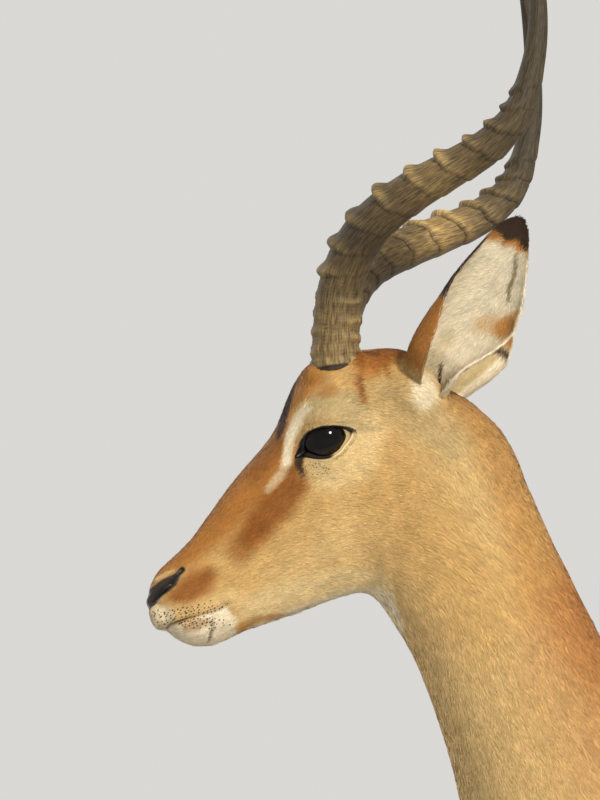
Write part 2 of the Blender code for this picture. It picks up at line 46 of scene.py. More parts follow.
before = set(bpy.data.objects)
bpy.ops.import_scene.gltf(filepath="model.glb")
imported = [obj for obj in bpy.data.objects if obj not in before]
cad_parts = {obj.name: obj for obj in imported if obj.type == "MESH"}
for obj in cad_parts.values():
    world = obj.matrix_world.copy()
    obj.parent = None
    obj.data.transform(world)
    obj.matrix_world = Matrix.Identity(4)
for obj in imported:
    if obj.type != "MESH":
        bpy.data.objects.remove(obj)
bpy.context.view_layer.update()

# ---------------------------------------------------------------- frames of the body and the head

MM = 0.001
SIDES = {"left": -1, "right": 1}
FLESH = [
    "head", "neck", "trunk", "tail",
    "foreleg_left", "foreleg_right", "hindleg_left", "hindleg_right",
]
EARS = ["ear_left", "ear_right"]
PITCH = math.radians(39)  # the head's long axis above the horizontal
EYE_PLACE = (192, 0, 14.5)  # both eyes' middle: along the head, sideways, up from its axis (millimetres)
EYE_RADIUS, LID_RADIUS = 19.0, 21.7  # millimetres
EYE_TURN = math.radians(22)  # the opening's long axis above the horizontal


def unit(vectors):
    """The vectors at length 1."""
    vectors = np.asarray(vectors, float)
    return vectors / np.maximum(np.linalg.norm(vectors, axis=-1, keepdims=True), 1e-9)


def middle(node):
    """The middle of a node's box."""
    low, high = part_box(node)
    return (np.array(low) + np.array(high)) / 2


EYES = {side: middle("eye_" + side) for side in SIDES}
AHEAD = np.array([-1.0, 0.0, 0.0])
SIDEWAYS = unit(EYES["right"] - EYES["left"])
CROWN = unit(np.cross(-AHEAD, SIDEWAYS))
ALONG = math.sin(PITCH) * CROWN - math.cos(PITCH) * AHEAD
UP = math.cos(PITCH) * CROWN + math.sin(PITCH) * AHEAD
HEAD_AXES = np.array([ALONG, SIDEWAYS, UP])
MUZZLE = (EYES["left"] + EYES["right"]) / 2 - np.array(EYE_PLACE) * MM @ HEAD_AXES
MID_Y = middle("trunk")[1]


def to_head(points):
    """Along the head from the lips, out to its right and up from its axis, in millimetres."""
    return (points - MUZZLE) @ HEAD_AXES.T / MM


def from_head(places):
    return MUZZLE + np.asarray(places, float) * MM @ HEAD_AXES


def mirrored(places):
    """Places with those of one side laid over the other side's."""
    places = places.copy()
    places[:, 1] = np.abs(places[:, 1])
    return places


def eye_axes(side):
    """The opening's long axis to its rear corner, the way up across it, and the way out of the head."""
    along = math.sin(EYE_TURN) * CROWN - math.cos(EYE_TURN) * AHEAD
    up = math.cos(EYE_TURN) * CROWN + math.sin(EYE_TURN) * AHEAD
    return np.array([along, up, SIDEWAYS * SIDES[side]])


def to_eye(points, side):
    return (points - EYES[side]) @ eye_axes(side).T / MM


# ---------------------------------------------------------------- curves, masks and noise


def spline(rows, count):
    """Rows of numbers resampled at count even steps of a Catmull-Rom curve through them."""
    rows = np.asarray(rows, float)
    place = np.linspace(0, len(rows) - 1, count)
    i = np.minimum(place.astype(int), len(rows) - 2)
    t = (place - i)[:, None]
    a, b, c, d = (rows[np.clip(i + j, 0, len(rows) - 1)] for j in (-1, 0, 1, 2))
    square, cube = 2 * a - 5 * b + 4 * c - d, 3 * b - a - 3 * c + d
    return 0.5 * (2 * b + (c - a) * t + square * t**2 + cube * t**3)


def ease(share):
    """A smooth step: 0 up to 0, 1 from 1 on."""
    share = np.clip(share, 0, 1)
    return share * share * (3 - 2 * share)


def stroke(places, route, softness):
    """1 within a route's radius, easing to 0 over softness beyond it. A route is rows of place and radius."""
    route = np.atleast_2d(np.asarray(route, float))
    ends = route[1:] if len(route) > 1 else route
    gap = np.full(len(places), np.inf)
    for a, b in zip(route, ends):
        way = b[:3] - a[:3]
        offset = places - a[:3]
        t = np.clip(offset @ way / max(way @ way, 1e-9), 0, 1)
        reach = np.linalg.norm(offset - t[:, None] * way, axis=1) - (a[3] + t * (b[3] - a[3]))
        gap = np.minimum(gap, reach)
    return ease(1 - gap / softness)


def mottle(points, size, seed=0.0):
    """Smooth waves about size across, from -1 to 1."""
    p = points * (2 * math.pi / size)
    x, y, z = p[:, 0] + seed, p[:, 1] + 2.3 * seed, p[:, 2] + 4.1 * seed
    first = np.sin(x + 1.7 * np.sin(0.6 * z)) * np.sin(1.3 * y + 1.1 * np.sin(0.8 * x))
    return first * 0.6 + 0.4 * np.sin(1.9 * z + 2.0 * np.sin(0.7 * y + x))


# ---------------------------------------------------------------- meshes

BRIGHTEST = 255  # display value of full red, green or blue


def deselect():
    if bpy.context.mode != "OBJECT":
        bpy.ops.object.mode_set(mode="OBJECT")
    bpy.ops.object.select_all(action="DESELECT")


def make_active(piece):
    deselect()
    piece.select_set(True)
    bpy.context.view_layer.objects.active = piece


def new_piece(name, points, faces):
    """A mesh object from an array of points and an array of faces that all have the same count of corners."""
    mesh = bpy.data.meshes.new(name)
    faces = np.asarray(faces, np.int32)
    mesh.vertices.add(len(points))
    mesh.vertices.foreach_set("co", np.asarray(points, np.float32).ravel())
    mesh.loops.add(faces.size)
    mesh.loops.foreach_set("vertex_index", faces.ravel())
    mesh.polygons.add(len(faces))
    mesh.polygons.foreach_set("loop_start", np.arange(0, faces.size, faces.shape[1], dtype=np.int32))
    mesh.update(calc_edges=True)
    mesh.shade_smooth()
    piece = bpy.data.objects.new(name, mesh)
    bpy.context.scene.collection.objects.link(piece)
    return piece


def read(collection, field, width, kind=np.float32):
    """One field of every item, as an array with width numbers for each."""
    values = np.empty(len(collection) * width, kind)
    collection.foreach_get(field, values)
    return values.reshape(-1, width) if width > 1 else values


def points_of(mesh):
    return read(mesh.vertices, "co", 3).astype(float)


def normals_of(mesh):
    return read(mesh.vertex_normals, "vector", 3).astype(float)


def set_points(mesh, points):
    mesh.vertices.foreach_set("co", points.astype(np.float32).ravel())
    mesh.update()


def relax(values, edges, rounds, weight=1.0, kept=0.0):
    """Values at the points drawn towards their neighbours' mean, then pushed back by the kept share."""
    count = len(values)
    degree = np.maximum(np.bincount(edges.ravel(), minlength=count), 1)[:, None]
    weight = np.broadcast_to(np.asarray(weight, float), count)[:, None]
    ends = np.concatenate([edges[:, 0], edges[:, 1]])
    others = np.concatenate([edges[:, 1], edges[:, 0]])
    for step in range(rounds * (2 if kept else 1)):
        near = [np.bincount(ends, column, count) for column in values[others].T]
        pull = -kept if kept and step % 2 else 0.5
        values = values + pull * weight * (np.stack(near, axis=1) / degree - values)
    return values


def relax_mesh(mesh, rounds, weight=1.0, kept=0.0):
    edges = read(mesh.edges, "vertices", 2, np.int32)
    set_points(mesh, relax(points_of(mesh), edges, rounds, weight, kept))


def apply_modifier(piece, kind, **settings):
    modifier = piece.modifiers.new(kind.lower(), kind)
    for key, value in settings.items():
        setattr(modifier, key, value)
    make_active(piece)
    bpy.ops.object.modifier_apply(modifier=modifier.name)


def join(pieces, name):
    deselect()
    for piece in pieces:
        piece.select_set(True)
    bpy.context.view_layer.objects.active = pieces[0]
    bpy.ops.object.join()
    pieces[0].name = pieces[0].data.name = name
    return pieces[0]


def welded_copy(nodes, name):
    """One object holding copies of the solids, with the loose triangles of each merged."""
    copies = []
    for node in nodes:
        copy = bpy.data.objects.new(node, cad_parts[node].data.copy())
        bpy.context.scene.collection.objects.link(copy)
        copies.append(copy)
    piece = join(copies, name)
    piece.data.materials.clear()
    bpy.ops.object.mode_set(mode="EDIT")
    bpy.ops.mesh.select_all(action="SELECT")
    bpy.ops.mesh.remove_doubles(threshold=0.05 * MM)
    bpy.ops.mesh.normals_make_consistent(inside=False)
    bpy.ops.mesh.customdata_custom_splitnormals_clear()
    bpy.ops.object.mode_set(mode="OBJECT")
    return piece


def subdivide_where(piece, wanted):
    """Splits in four the faces whose middles the wanted function takes."""
    make_active(piece)
    mesh = piece.data
    centres = read(mesh.polygons, "center", 3).astype(float)
    mesh.vertices.foreach_set("select", np.zeros(len(mesh.vertices), bool))
    mesh.edges.foreach_set("select", np.zeros(len(mesh.edges), bool))
    mesh.polygons.foreach_set("select", wanted(centres))
    bpy.context.tool_settings.mesh_select_mode = (False, False, True)
    bpy.ops.object.mode_set(mode="EDIT")
    bpy.ops.mesh.subdivide(number_cuts=1, smoothness=0)
    bpy.ops.object.mode_set(mode="OBJECT")


def lofted_faces(rows, columns, closed):
    """Quads between rows of points, round each row if closed."""
    across = columns if closed else columns - 1
    i, j = np.meshgrid(np.arange(rows - 1), np.arange(across), indexing="ij")
    a, b = i * columns + j, i * columns + (j + 1) % columns
    return np.stack([a, b, b + columns, a + columns], axis=-1).reshape(-1, 4)


def set_colours(mesh, colours):
    """Colours in display values from 0 to BRIGHTEST, one for each point."""
    layer = mesh.color_attributes.new("Col", "BYTE_COLOR", "POINT")
    values = np.ones((len(mesh.vertices), 4), np.float32)
    values[:, :3] = np.clip(colours / BRIGHTEST, 0, 1)
    layer.data.foreach_set("color_srgb", values.ravel())


def set_values(mesh, name, values):
    layer = mesh.attributes.new(name, "FLOAT", "POINT")
    layer.data.foreach_set("value", np.asarray(values, np.float32))


def set_vectors(mesh, name, vectors):
    layer = mesh.attributes.new(name, "FLOAT_VECTOR", "POINT")
    layer.data.foreach_set("vector", np.asarray(vectors, np.float32).ravel())


# ---------------------------------------------------------------- materials

GRAIN_DETAIL, GRAIN_STRENGTH = 3.0, 0.6
ROUGHNESS_SPREAD = 0.08  # how far the grain takes the roughness up and down


def nodes_and_shader(name):
    material = bpy.data.materials.new(name)
    material.use_nodes = True
    return material, material.node_tree, material.node_tree.nodes["Principled BSDF"]


def painted(name, roughness, specular, grain_scale, grain_depth, grain_source="Object", **sockets):
    """A finish that takes its colour from the Col attribute and its fine relief from noise."""
    material, tree, shader = nodes_and_shader(name)
    add, link = tree.nodes.new, tree.links.new
    colour = add("ShaderNodeAttribute")
    colour.attribute_name = "Col"
    link(colour.outputs["Color"], shader.inputs["Base Color"])
    if grain_source == "Object":
        source = add("ShaderNodeTexCoord").outputs["Object"]
    else:
        place = add("ShaderNodeAttribute")
        place.attribute_name = grain_source
        source = place.outputs["Vector"]
    grain = add("ShaderNodeTexNoise")
    grain.inputs["Scale"].default_value = grain_scale
    grain.inputs["Detail"].default_value = GRAIN_DETAIL
    link(source, grain.inputs["Vector"])
    bump = add("ShaderNodeBump")
    bump.inputs["Strength"].default_value = GRAIN_STRENGTH
    bump.inputs["Distance"].default_value = grain_depth
    link(grain.outputs["Fac"], bump.inputs["Height"])
    link(bump.outputs["Normal"], shader.inputs["Normal"])
    spread = add("ShaderNodeMapRange")
    spread.inputs["To Min"].default_value = roughness - ROUGHNESS_SPREAD
    spread.inputs["To Max"].default_value = roughness + ROUGHNESS_SPREAD
    link(grain.outputs["Fac"], spread.inputs["Value"])
    link(spread.outputs["Result"], shader.inputs["Roughness"])
    shader.inputs["Specular IOR Level"].default_value = specular
    for socket, value in sockets.items():
        shader.inputs[socket.replace("_", " ")].default_value = value
    return material


# ---------------------------------------------------------------- colours of the skin and coat

COLOURS = {
    "fawn": (("Fawn", "Neck and flank"), (197, 167, 113)),
    "cheek": (("Cheek", "Side of the head"), (192, 155, 97)),
    "rufous": (("Rufous", "Bridge of the nose, forehead and ears"), (165, 109, 49)),
    "band": (("Dark band", "Darkest red-brown, before the eye"), (131, 76, 28)),
    "saddle": (("Saddle", "Back, from the withers to the rump"), (164, 108, 58)),
    "cream": (("Cream", "Round the eye and along the jaw"), (211, 187, 138)),
    "white": (("White", "Lips, brow stripe, throat, belly and inside of the ears"), (221, 208, 180)),
    "grey": (("Grey", "Behind and below the ear"), (172, 150, 106)),
    "dark": (("Dark", "Forehead patch, ear tips and leg tufts"), (52, 36, 24)),
    "black": (("Black", "Lids, nose and stripes of the rump"), (24, 20, 17)),
}


def display(setting):
    return np.array(setting) * BRIGHTEST


def palette():
    colours = bpy.context.scene.impala.colours
    return {name: display(getattr(colours, name)) for name in COLOURS}


# Head marks, in head places: colour, strength, softness, then along, out, up, radius (all millimetres).
HEAD_MARKS = (
    ("rufous", 0.95, 17, (
        (30, 6, 14, 6), (70, 9, 19, 12), (100, 14, 24, 16), (130, 20, 27, 20), (154, 26, 34, 18),
    )),
    ("rufous", 0.85, 13, ((185, 22, 58, 9), (205, 28, 64, 14), (232, 28, 70, 16))),
    ("band", 0.50, 11, ((166, 34, 40, 4), (150, 30, 36, 7), (132, 26, 32, 5))),
    ("band", 0.85, 13, ((150, 43, 4, 6), (126, 40, -2, 7), (108, 35, -5, 5), (94, 32, -8, 1))),
    ("band", 0.60, 14, ((100, 33, -6, 5), (82, 30, -9, 3))),
    ("rufous", 0.90, 12, ((300, 0, 36, 12), (278, 30, 40, 11), (256, 42, 42, 8))),
    ("band", 0.60, 9, ((292, 10, 38, 6), (272, 30, 42, 8), (258, 42, 46, 7))),
    ("rufous", 0.50, 34, (
        (308, 0, 16, 10), (306, 16, -30, 10), (300, 24, -80, 14), (285, 30, -140, 18), (258, 36, -215, 22),
    )),
    ("cream", 0.70, 17, ((176, 50, -8, 10), (196, 50, -8, 14), (222, 48, 2, 8))),
    ("grey", 0.95, 13, ((186, 48, 44, 3), (204, 51, 34, 9), (220, 50, 22, 7))),
    ("grey", 0.40, 9, ((160, 49, 2, 3), (172, 50, -3, 6))),
    ("grey", 0.55, 20, ((248, 48, 12, 4), (258, 47, -4, 10), (266, 43, -30, 10), (269, 43, -50, 5))),
    ("band", 0.60, 5, ((251, 43, 46, 0.8), (238, 48, 33, 1.0), (233, 49, 20, 0.2))),
    ("dark", 0.36, 2.0, ((253, 41, 48, 0.6), (243, 46, 37, 0.5), (235, 48, 25, 0.1))),
    ("band", 0.50, 3, ((268, 41, 35, 0.6), (263, 44, 29, 0.8), (259, 47, 22, 0.2))),
    ("band", 0.45, 7, ((217, 47, 41, 2), (208, 47, 45, 1))),
    ("cream", 0.85, 13, ((62, 12, -50, 7), (96, 16, -66, 8), (130, 16, -82, 8), (152, 14, -98, 8))),
    ("white", 0.80, 8, (
        (60, 0, -62, 5), (100, 0, -78, 6), (140, 0, -96, 8), (152, 6, -110, 10), (151, 4, -126, 7),
    )),
    ("band", 0.85, 14, ((48, 25, -10, 1), (40, 24, -10, 4), (30, 23, -10, 4), (22, 21, -8, 1))),
    ("cream", 0.42, 8, (
        (8, 16, -14, 5), (20, 22, -23, 4), (32, 23.5, -29, 4), (42, 24, -33, 4), (54, 25, -36, 3),
    )),
    ("white", 0.85, 6, ((0, 0, -12, 8), (3, 9, -9, 6), (6, 14, -13, 4))),
    ("white", 0.97, 5, (
        (3, 4, -27, 6), (10, 11, -34, 7), (20, 14, -41, 8), (31, 15, -45, 8), (40, 16, -49, 5),
    )),
    ("white", 0.97, 4, ((41, 21, -42, 4), (24, 19, -37, 4))),
    ("white", 0.97, 5, ((8, 0, -38, 6), (22, 0, -52, 7), (36, 4, -58, 6))),
    ("band", 0.40, 4, ((12, 15, -31, 1), (20, 18, -35, 2), (27, 19, -38, 0.5))),
    # Painted shade: rufous along the shaded lower edge behind the chin.
    ("rufous", 0.55, 5, ((42, 0, -62, 2.5), (48, 8, -58, 2), (58, 10, -60, 1.5), (78, 5, -66, 1))),
    ("white", 0.80, 8, ((191, 42, 40, 3), (182, 41, 39, 4.5), (174, 40, 35, 4.5))),
    ("white", 0.95, 4.0, ((184, 41, 38, 2), (171, 40, 34, 4), (164, 41, 28, 4), (156, 42, 20, 3))),
    ("white", 0.60, 4.5, ((156, 42, 20, 3), (146, 41, 15, 2.5), (129, 37, 12, 1.5))),
    ("white", 0.85, 11, ((288, 52, 2, 8), (280, 51, -4, 9), (272, 47, -6, 5))),
    ("dark", 0.90, 8, ((206, 0, 76, 2), (194, 0, 67, 9), (178, 0, 58, 10), (166, 0, 50, 6), (158, 0, 45, 2))),
    ("dark", 0.90, 5, (
        (204, 14, 70, 1), (194, 16, 63, 4.5), (182, 19, 55, 6.5), (172, 24, 46, 3.5), (163, 29, 40, 0.5),
    )),
    ("dark", 0.95, 2.6, ((173, 49, 20, 2.2), (166, 48, 15, 2.6), (160, 47, 10, 2.2), (156, 47, 2, 0.6))),
    # Painted shade: dark along the crease of the closed mouth and the notch down to the chin, which
    # HEAD_RELIEF also carves.
    ("dark", 0.85, 1.8, (
        (-3, 0, -20, 0.6), (5, 13, -21, 0.7), (10, 17, -24, 0.7), (19, 21, -28, 0.6), (29, 22, -33, 0.3),
    )),
    ("dark", 0.50, 1.6, ((29, 22, -33, 0.3), (37, 22, -36, 0.5), (45, 22, -39, 0.1), (52, 23, -39, 0))),
    ("dark", 0.62, 1.5, ((35, 22, -37, 0.1), (31, 20, -41, 0.5), (27, 16, -45, 0.4), (19, 5, -50, 0.2))),
    ("cream", 0.85, 3, ((13, 8, 18, 1.2), (18, 12.5, 17, 1.6), (24, 15.5, 15, 1.8), (32, 18, 12.5, 1.2))),
)

# The black of the nose: between the nostrils and round each of them.
NOSE = (
    (3, 0, 4, 7), (5, 5, 5.5, 7), (9, 10, 6, 6.3), (15, 15, 6, 5.2), (22, 17, 5, 5.4), (27, 18, 4.5, 4.6),
    (31, 19.5, 5.5, 3.0), (34.5, 20, 6.5, 1.9), (39.5, 20, 7.5, 2.1),
)
NOSE_SOFTNESS = 1.6

# Painted shade in the hollow of the nostril and the slit behind it.
NOSTRIL_SHADE = (
    (8, 9.5, 2.5, 2.0), (13, 14, 3.0, 3.0), (19, 17.5, 3.5, 2.6), (26, 19.5, 4.5, 1.6), (33, 20, 6.5, 1.4),
    (39.5, 20, 7.5, 2.2),
)

# Body marks, in place of along, out, up: x, out from the middle plane, z.
BODY_MARKS = (
    ("rufous", 0.50, 40, (
        (-392, 20, 1300, 10), (-340, 26, 1226, 14), (-306, 30, 1172, 18), (-272, 36, 1110, 22),
    )),
    ("saddle", 0.90, 110, (
        (-330, 0, 1230, 10), (-260, 0, 1030, 20), (-150, 0, 930, 60), (60, 0, 900, 85), (420, 0, 900, 90),
    )),
    ("saddle", 0.55, 70, ((420, 60, 800, 50), (540, 50, 800, 40))),
    ("white", 0.75, 60, ((-300, 0, 640, 30), (-240, 0, 560, 30))),
    ("white", 1.00, 24, ((258, 12, 640, 22), (318, 14, 632, 24), (356, 16, 600, 20))),
    ("white", 1.00, 12, ((575, 0, 860, 8), (592, 0, 780, 26), (575, 0, 700, 34), (545, 0, 620, 40))),
    ("black", 0.95, 6, (
        (588, 30, 850, 4), (592, 42, 780, 6), (580, 50, 710, 6.5), (562, 58, 640, 5), (556, 60, 600, 1),
    )),
)

# The edge of the white belly: x and z, and over what height it softens (millimetres).
BELLY_LINE = (
    (-340, 590), (-240, 572), (-120, 585), (60, 604), (230, 640), (290, 668), (322, 655), (350, 520),
)
BELLY_SOFTNESS = 14

# The shaded line down the middle of the throat, in body places.
THROAT_SHADE = ((-452, 0, 1120, 6), (-428, 0, 1060, 4), (-405, 0, 1000, 2))

LOWEST_HEAD = 1.0  # metres; the marks of the head end above it
EYE_REGION = 0.045  # metres round the eye's middle, for its marks and the finest faces
# The upper lid's creases get painted shade in the band colour at these shares.
SHADED_LID_FOLDS = (1.42, 1.66, 1.92)  # shares of the eye's opening at which the upper lid creases
EYE_CORNER = np.array([188.0, 162.0, 124.0])  # display colour of the wet skin in the rear corner


def head_share(points):
    """1 on the head and the top of the neck, easing to 0 down the neck."""
    u, _, v = to_head(points).T
    reach = np.hypot(u - 165, v + 5)
    return ease((225 - reach) / 45) * (points[:, 2] > LOWEST_HEAD)


def mix(colours, other, share):
    return colours + (other - colours) * share[:, None]


def paint(colours, places, marks, tints):
    for name, strength, softness, route in marks:
        colours = mix(colours, tints[name], strength * stroke(places, route, softness))
    return colours


def eye_colours(colours, points, tints):
    """The lids' black margins, painted shade in the upper lid's creases, a pale wet edge below that is a
    painted highlight, and the corners between them.
    """
    for side in SIDES:
        near = np.flatnonzero(np.linalg.norm(points - EYES[side], axis=1) < EYE_REGION)
        a, b, _ = to_eye(points[near], side).T
        share = lid_share(a, b)
        upper = ease((b + 5 + 0.15 * a) / 5)
        local = colours[near]
        # Painted shade along each crease of the upper lid.
        for fold in SHADED_LID_FOLDS:
            line = upper * ease(1 - np.abs(share - fold) / 0.07)
            line = line * ease((14 - a) / 10) * ease((a + 22) / 10)
            local = mix(local, tints["band"], 0.45 * line)
        shade = upper * ease((2.3 - share) / 0.9) * ease((a + 24) / 12)
        local = mix(local, tints["grey"] * 0.8, 0.35 * shade)
        rim = ease((1.09 + 0.10 * upper - share) / 0.07)
        pale = (1 - upper) * ease((a + 3) / 6)
        local = mix(local, tints["black"], rim * (1 - 0.95 * pale))
        # Painted highlight: cream along the wet margin of the lower rear lid.
        local = mix(local, tints["cream"] * 1.06, pale * ease(1 - np.abs(share - 1.05) / 0.07))
        local = mix(local, tints["black"], pale * ease(1 - np.abs(share - 1.15) / 0.05) * 0.35)
        corner = ease((0.97 - share) / 0.04) * ease((a - 14.5) / 2.5)
        colours[near] = mix(local, EYE_CORNER, corner)
    return colours


def head_colours(points, tints):
    places = mirrored(to_head(points))
    u, _, v = places.T
    colours = np.tile(tints["cheek"], (len(points), 1))
    jaw = ease((-v - 18) / 40) * ease((u - 40) / 60) * ease((200 - u) / 60)
    colours = mix(colours, tints["cream"], 0.45 * jaw)
    colours = mix(colours, tints["fawn"], ease((u - 215) / 60) * ease((-v + 10) / 50))
    colours = paint(colours, places, HEAD_MARKS, tints)
    colours = mix(colours, tints["black"] * 2.0, stroke(places, NOSE, NOSE_SOFTNESS))
    # Painted shade: the nostrils darker than the black of the nose.
    colours = mix(colours, tints["black"] * 0.7, stroke(places, NOSTRIL_SHADE, 1.4))
    return eye_colours(colours, points, tints)


NECK_LEAN = 0.1  # how far the neck's middle goes to the right for each metre of height
LEAN_START = 0.96  # metres above the ground


def body_places(points):
    """x, out from the middle plane to either side, and z, in millimetres."""
    places = points / MM
    middle_y = MID_Y + np.clip(points[:, 2] - LEAN_START, 0, None) * NECK_LEAN
    places[:, 1] = np.abs(points[:, 1] - middle_y) / MM
    return places


def body_colours(points, normals, tints):
    places = body_places(points)
    x, out, z = places.T
    colours = np.tile(tints["fawn"], (len(points), 1))
    inward = -normals[:, 1] * np.sign(points[:, 1] - MID_Y)
    lower = ease((520 - z) / 160)
    colours = mix(colours, tints["rufous"], 0.28 * lower * ease(0.5 - normals[:, 0]))
    colours = mix(colours, tints["cream"], 0.35 * lower * ease(normals[:, 0] + 0.5))
    inside = ease(inward * 1.6) * ease((z - 330) / 120) * ease((720 - z) / 60)
    colours = mix(colours, tints["white"], 0.85 * inside)
    colours = paint(colours, places, BODY_MARKS, tints)
    line_x, line_z = np.transpose(BELLY_LINE)
    under = ease((np.interp(x, line_x, line_z) - z) / BELLY_SOFTNESS + 0.5)
    under *= np.maximum(ease((z - 575) / 30), ease((x + 150) / 60) * ease((330 - x) / 40))
    colours = mix(colours, tints["white"], under)
    throat = stroke(places, THROAT_SHADE, 16)
    colours = mix(colours, tints["saddle"], 0.35 * throat)
    heel = ease(1 - np.abs(z - 128) / 42) * ease(normals[:, 0] * 1.5) * (x > 300)
    colours = mix(colours, tints["black"], 0.95 * ease(heel * 2.2))
    tail = ease((x - 590) / 8) * ease((60 - out) / 8) * ease((838 - z) / 10)
    colours = mix(colours, tints["fawn"], tail)
    colours = mix(colours, tints["white"], tail * np.maximum(ease((740 - z) / 60), ease((out - 10) / 8)))
    stripe = tail * ease((7 - out) / 5) * ease(normals[:, 0] * 2) * ease((z - 560) / 60)
    return mix(colours, tints["black"], stripe)


# Marks inside the ear: colour, its lightness, strength, softness, then along, across, 0 and radius.
EAR_MARKS = (
    ("rufous", 1.0, 0.80, 8, ((70, 32, 0, 3.5), (60, 25, 0, 3))),
    ("rufous", 1.0, 0.38, 10, ((62, 24, 0, 3), (56, 8, 0, 2))),
    # Painted shade along a pleat inside the cup.
    ("grey", 0.62, 0.75, 2.4, ((118, 9, 0, 0.2), (104, 15, 0, 0.6), (90, 16, 0, 0.4), (82, 20, 0, 0.1))),
    ("grey", 1.0, 0.35, 9, ((34, -14, 0, 1), (14, -16, 0, 3))),
    # Painted shade in the slit at the root of the cup.
    ("dark", 1.0, 0.9, 1.6, ((14, -8.5, 0, 0.2), (6, -5, 0, 0.8), (-4, -1, 0, 0.4))),
)


def ear_colours(lobe, inside, tints):
    """White inside, rufous outside, black at the tip and along part of the front edge."""
    share, across, turn = lobe.T
    places = np.stack([share * EAR_LENGTH, across, np.zeros_like(share)], axis=1)
    front = ease((-turn - 0.62) / 0.2)
    outer = np.tile(tints["rufous"] * 0.92, (len(lobe), 1))
    outer = mix(outer, tints["grey"], 0.9 * ease((0.07 - share) / 0.11))
    outer = mix(outer, tints["cream"] * 0.88, ease((turn + 0.05) / 0.3) * ease((0.56 - share) / 0.15))
    outer = mix(outer, tints["white"], ease((turn - 0.54) / 0.1) * ease((0.50 - share) / 0.08))
    outer = mix(outer, tints["dark"], ease((turn - 0.30) / 0.12) * ease(1 - np.abs(share - 0.44) / 0.045))
    outer = mix(outer, tints["dark"], front * ease((share - 0.40) / 0.05))
    inner = np.tile(tints["white"] * 0.96, (len(lobe), 1))
    for name, light, strength, softness, route in EAR_MARKS:
        inner = mix(inner, tints[name] * light, strength * stroke(places, route, softness))
    inner = mix(inner, tints["white"] * 1.04, ease((turn - 0.93) / 0.05))
    inner = mix(inner, tints["dark"], ease((-turn - 0.96) / 0.03) * ease((share - 0.42) / 0.05))
    colours = mix(outer, inner, ease((inside - 0.35) / 0.3))
    rear = ease((turn - 0.84) / 0.06) * ease((share - 0.02) / 0.03) * ease((0.78 - share) / 0.05)
    colours = mix(colours, tints["white"] * 1.04, rear)
    colours = mix(colours, tints["rufous"], ease((share - 0.790 - 0.010 * np.sin(across * 0.5)) / 0.06))
    edge = 0.838 + 0.016 * np.sin(across * 0.35)
    return mix(colours, tints["dark"], ease((share - edge) / 0.035))


def markings(points, normals, zones, lobe, cup):
    """The animal's colours, which the skin and the coat share."""
    tints = palette()
    colours = np.zeros((len(points), 3))
    on_ear = zones >= len(FLESH)
    if on_ear.any():
        colours[on_ear] = ear_colours(lobe[on_ear], cup[on_ear], tints)
    share = head_share(points)
    head = ~on_ear & (share > 0)
    body = ~on_ear & (share < 1)
    if body.any():
        colours[body] = body_colours(points[body], normals[body], tints)
    if head.any():
        colours[head] = mix(colours[head], head_colours(points[head], tints), share[head])
    broad, fine = mottle(points, 0.034)[:, None], mottle(points, 0.009, 5.0)[:, None]
    colours *= 1 + 0.045 * broad + 0.035 * fine
    return np.clip(colours, 0, BRIGHTEST)


# ---------------------------------------------------------------- zones of the flesh

ZONES = FLESH + EARS


@functools.cache
def flesh_tree():
    """The solids of the flesh as one tree, and the number in FLESH of each of its triangles."""
    corners, triangles, owners = [], [], []
    for number, node in enumerate(FLESH):
        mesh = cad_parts[node].data
        first = len(corners)
        corners += [vertex.co.copy() for vertex in mesh.vertices]
        triangles += [[first + i for i in polygon.vertices] for polygon in mesh.polygons]
        owners += [number] * len(mesh.polygons)
    return BVHTree.FromPolygons(corners, triangles), np.array(owners)


def flesh_zones(points):
    """The number in FLESH of the solid nearest to each point."""
    tree, owners = flesh_tree()
    return owners[[tree.find_nearest(point)[2] for point in points.tolist()]]


def skin_zones(mesh):
    """The number in ZONES at each point of the skin: ear points carry their own."""
    own = read(mesh.attributes["Ear"].data, "value", 1).astype(int)
    return np.where(own > 0, own, flesh_zones(points_of(mesh)))


def by_zone(zones, values):
    """A number for each point from a table that names the flesh zones."""
    return np.array([values[zone.split("_")[0]] for zone in ZONES], float)[zones]


# ---------------------------------------------------------------- lids

# Edge of the eye opening, from its rear corner over the top: along and up, in eye places.
OPENING = (
    (21.5, -4.2), (17.5, 0.0), (10.5, 3.0), (3, 5.0), (-4, 6.4), (-10, 6.4), (-15.5, 4.2), (-20, 0.4),
    (-27, -5.6), (-20.5, -8.8), (-13, -13.6), (-4, -16.9), (5, -16.1), (12.5, -12.2), (18.5, -8.2),
)
RING_POINTS = 240
OPENING_RING = spline(OPENING + OPENING[:1], RING_POINTS + 1)[:-1]
RAY_START = 60.0  # millimetres out from the eye's middle, clear of the skin

# Rings of the lids: share of the opening, rise over the skin, rise added on the upper lid (millimetres).
LID_RINGS = (
    (0.50, -9.0, 0.0), (0.80, -4.2, 0.0), (0.90, -2.9, 0.0), (0.96, -2.1, 0.0), (1.00, -1.2, 0.1),
    (1.02, -0.2, 0.2), (1.05, 0.35, 0.3), (1.09, 0.55, 0.35), (1.14, 0.5, 0.2), (1.20, 0.35, -0.35),
    (1.26, 0.3, -0.1), (1.33, 0.25, 0.2), (1.40, 0.2, -0.15), (1.48, 0.15, 0.12), (1.58, 0.0, -0.1),
    (1.70, -0.3, 0.0), (1.82, -1.1, 0.0),
)


def opening_reach(turns):
    """How far out the edge of the opening lies at angles round the eye's middle (millimetres)."""
    ring = np.arctan2(OPENING_RING[:, 1], OPENING_RING[:, 0])
    return np.interp(turns, ring, np.hypot(*OPENING_RING.T), period=2 * math.pi)


def lid_share(a, b):
    """How far out a place beside the eye lies, where the edge of the opening is 1."""
    return np.hypot(a, b) / opening_reach(np.arctan2(b, a))


